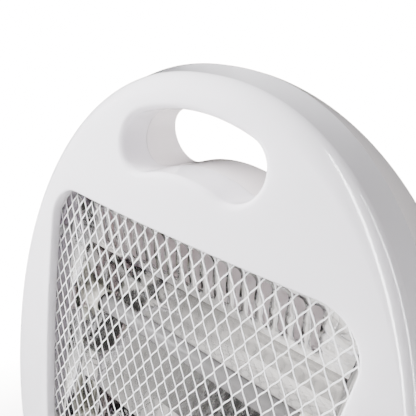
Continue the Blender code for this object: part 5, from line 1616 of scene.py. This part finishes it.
def studio_room():
    """The studio seen by the heater: bright at the left and low down, dim to the right and above."""
    world = bpy.data.worlds.new("studio_room")
    world.use_nodes = True
    tree = world.node_tree
    background = tree.nodes["Background"]
    place = tree.nodes.new("ShaderNodeTexCoord")
    x, z = split_direction(tree, place.outputs["Generated"])
    right = smooth_range(tree, x, RIGHT_RANGE, 1.0, RIGHT_SHARE)
    above = smooth_range(tree, z, CEILING_RANGE, 1.0, CEILING_SHARE)
    room = combine_values(tree, "MULTIPLY", combine_values(tree, "MULTIPLY", right, above), ROOM_LIGHT)
    ray = tree.nodes.new("ShaderNodeLightPath")
    glow = combine_values(tree, "MULTIPLY", ray.outputs["Is Camera Ray"], BACKDROP_LIGHT)
    tree.links.new(combine_values(tree, "MAXIMUM", room, glow), background.inputs["Strength"])
    background.inputs["Color"].default_value = FILL_TINT
    mirrored = tree.nodes.new("ShaderNodeBackground")
    mirrored.inputs["Color"].default_value = MIRRORED_TINT
    tree.links.new(mirrored_room(tree, x, z), mirrored.inputs["Strength"])
    join_for_mirrors(tree, ray, background.outputs[0], mirrored.outputs[0])
    bpy.context.scene.world = world


def join_for_mirrors(tree, ray, plain, mirrored):
    """Sends one shader to mirror rays and the other to the rest."""
    mix = tree.nodes.new("ShaderNodeMixShader")
    tree.links.new(ray.outputs["Is Glossy Ray"], mix.inputs[0])
    tree.links.new(plain, mix.inputs[1])
    tree.links.new(mirrored, mix.inputs[2])
    end = next(node for node in tree.nodes if node.type.startswith("OUTPUT"))
    tree.links.new(mix.outputs[0], end.inputs["Surface"])


def studio_paper():
    """Pale paper that stays shaded round the heater and turns plain white further off."""
    material, shader = plain_surface("studio_paper", Roughness=0.9)
    coloured(material, shader, (0.85, 0.85, 0.85), 0.01, 3.0)
    tree = material.node_tree
    place = tree.nodes.new("ShaderNodeNewGeometry").outputs["Position"]
    measured = []
    for operation in ("LENGTH", "NORMALIZE"):
        node = tree.nodes.new("ShaderNodeVectorMath")
        node.operation = operation
        tree.links.new(place, node.inputs[0])
        measured.append(node)
    length = measured[0].outputs["Value"]
    ray = tree.nodes.new("ShaderNodeLightPath")
    white = smooth_range(tree, length, WHITE_RANGE, 0.0, BACKDROP_LIGHT)
    glow = combine_values(tree, "MULTIPLY", ray.outputs["Is Camera Ray"], white)
    tree.links.new(combine_values(tree, "ADD", glow, PAPER_GLOW), shader.inputs["Emission Strength"])
    shader.inputs["Emission Color"].default_value = FILL_TINT
    x, _ = split_direction(tree, measured[1].outputs["Vector"])
    close = smooth_range(tree, length, NEAR_RANGE, MIRRORED_FLOOR_NEAR, 1.0)
    far = smooth_range(tree, length, FAR_RANGE, 1.0, MIRRORED_FLOOR_FAR)
    tone = combine_values(tree, "MULTIPLY", mirrored_floor(tree, x), far)
    mirrored = tree.nodes.new("ShaderNodeEmission")
    mirrored.inputs["Color"].default_value = MIRRORED_TINT
    tree.links.new(combine_values(tree, "MULTIPLY", tone, close), mirrored.inputs["Strength"])
    join_for_mirrors(tree, ray, shader.outputs[0], mirrored.outputs[0])
    return material


def studio(shells):
    """A pale floor that curves up into a white backdrop, soft lights and the room around."""
    bm = bmesh.new()
    profile = [(SWEEP_NEAR, 0.0)]
    for out, back in quarter(12):
        profile.append((SWEEP_FAR + SWEEP_RADIUS * (1.0 - out), SWEEP_RADIUS * back))
    profile.append((SWEEP_FAR + SWEEP_RADIUS, SWEEP_TOP))
    ends = (-SWEEP_HALF_WIDTH, SWEEP_HALF_WIDTH)
    rows = [[bm.verts.new((x, y, z)) for x in ends] for y, z in profile]
    for near, far in zip(rows[:-1], rows[1:]):
        bm.faces.new((near[0], near[1], far[1], far[0]))
    mesh = bpy.data.meshes.new("studio_sweep")
    bm.to_mesh(mesh)
    bm.free()
    mesh.shade_smooth()
    mesh.materials.append(studio_paper())
    new_object("studio_sweep", mesh)
    for name, lamp in LAMPS.items():
        studio_light(name, *lamp)
    for name, strip in STRIPS.items():
        studio_light(name, *strip, shells)
    studio_room()


def dress_frame():
    """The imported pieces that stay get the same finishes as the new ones."""
    slots = {part["node"]: part["material_slot"] for part in frame["record"]["subparts"]}
    for node, piece in frame["nodes"].items():
        piece.data.materials.clear()
        piece.data.materials.append(MATERIALS[slots[node]])


def main():
    camera()
    dress_frame()
    shells = (front_frame(), rear_shell())
    guard()
    reflector()
    for name, side in SIDES:
        reflector_end(name, side)
    for name, height in TUBE_HEIGHTS.items():
        heater_bar(name, height)
    for name, x in switch_places():
        housing(name, x)
        rocker(name, x)
    screws()
    cord_gland()
    base()
    rubber_feet()
    studio(shells)


main()
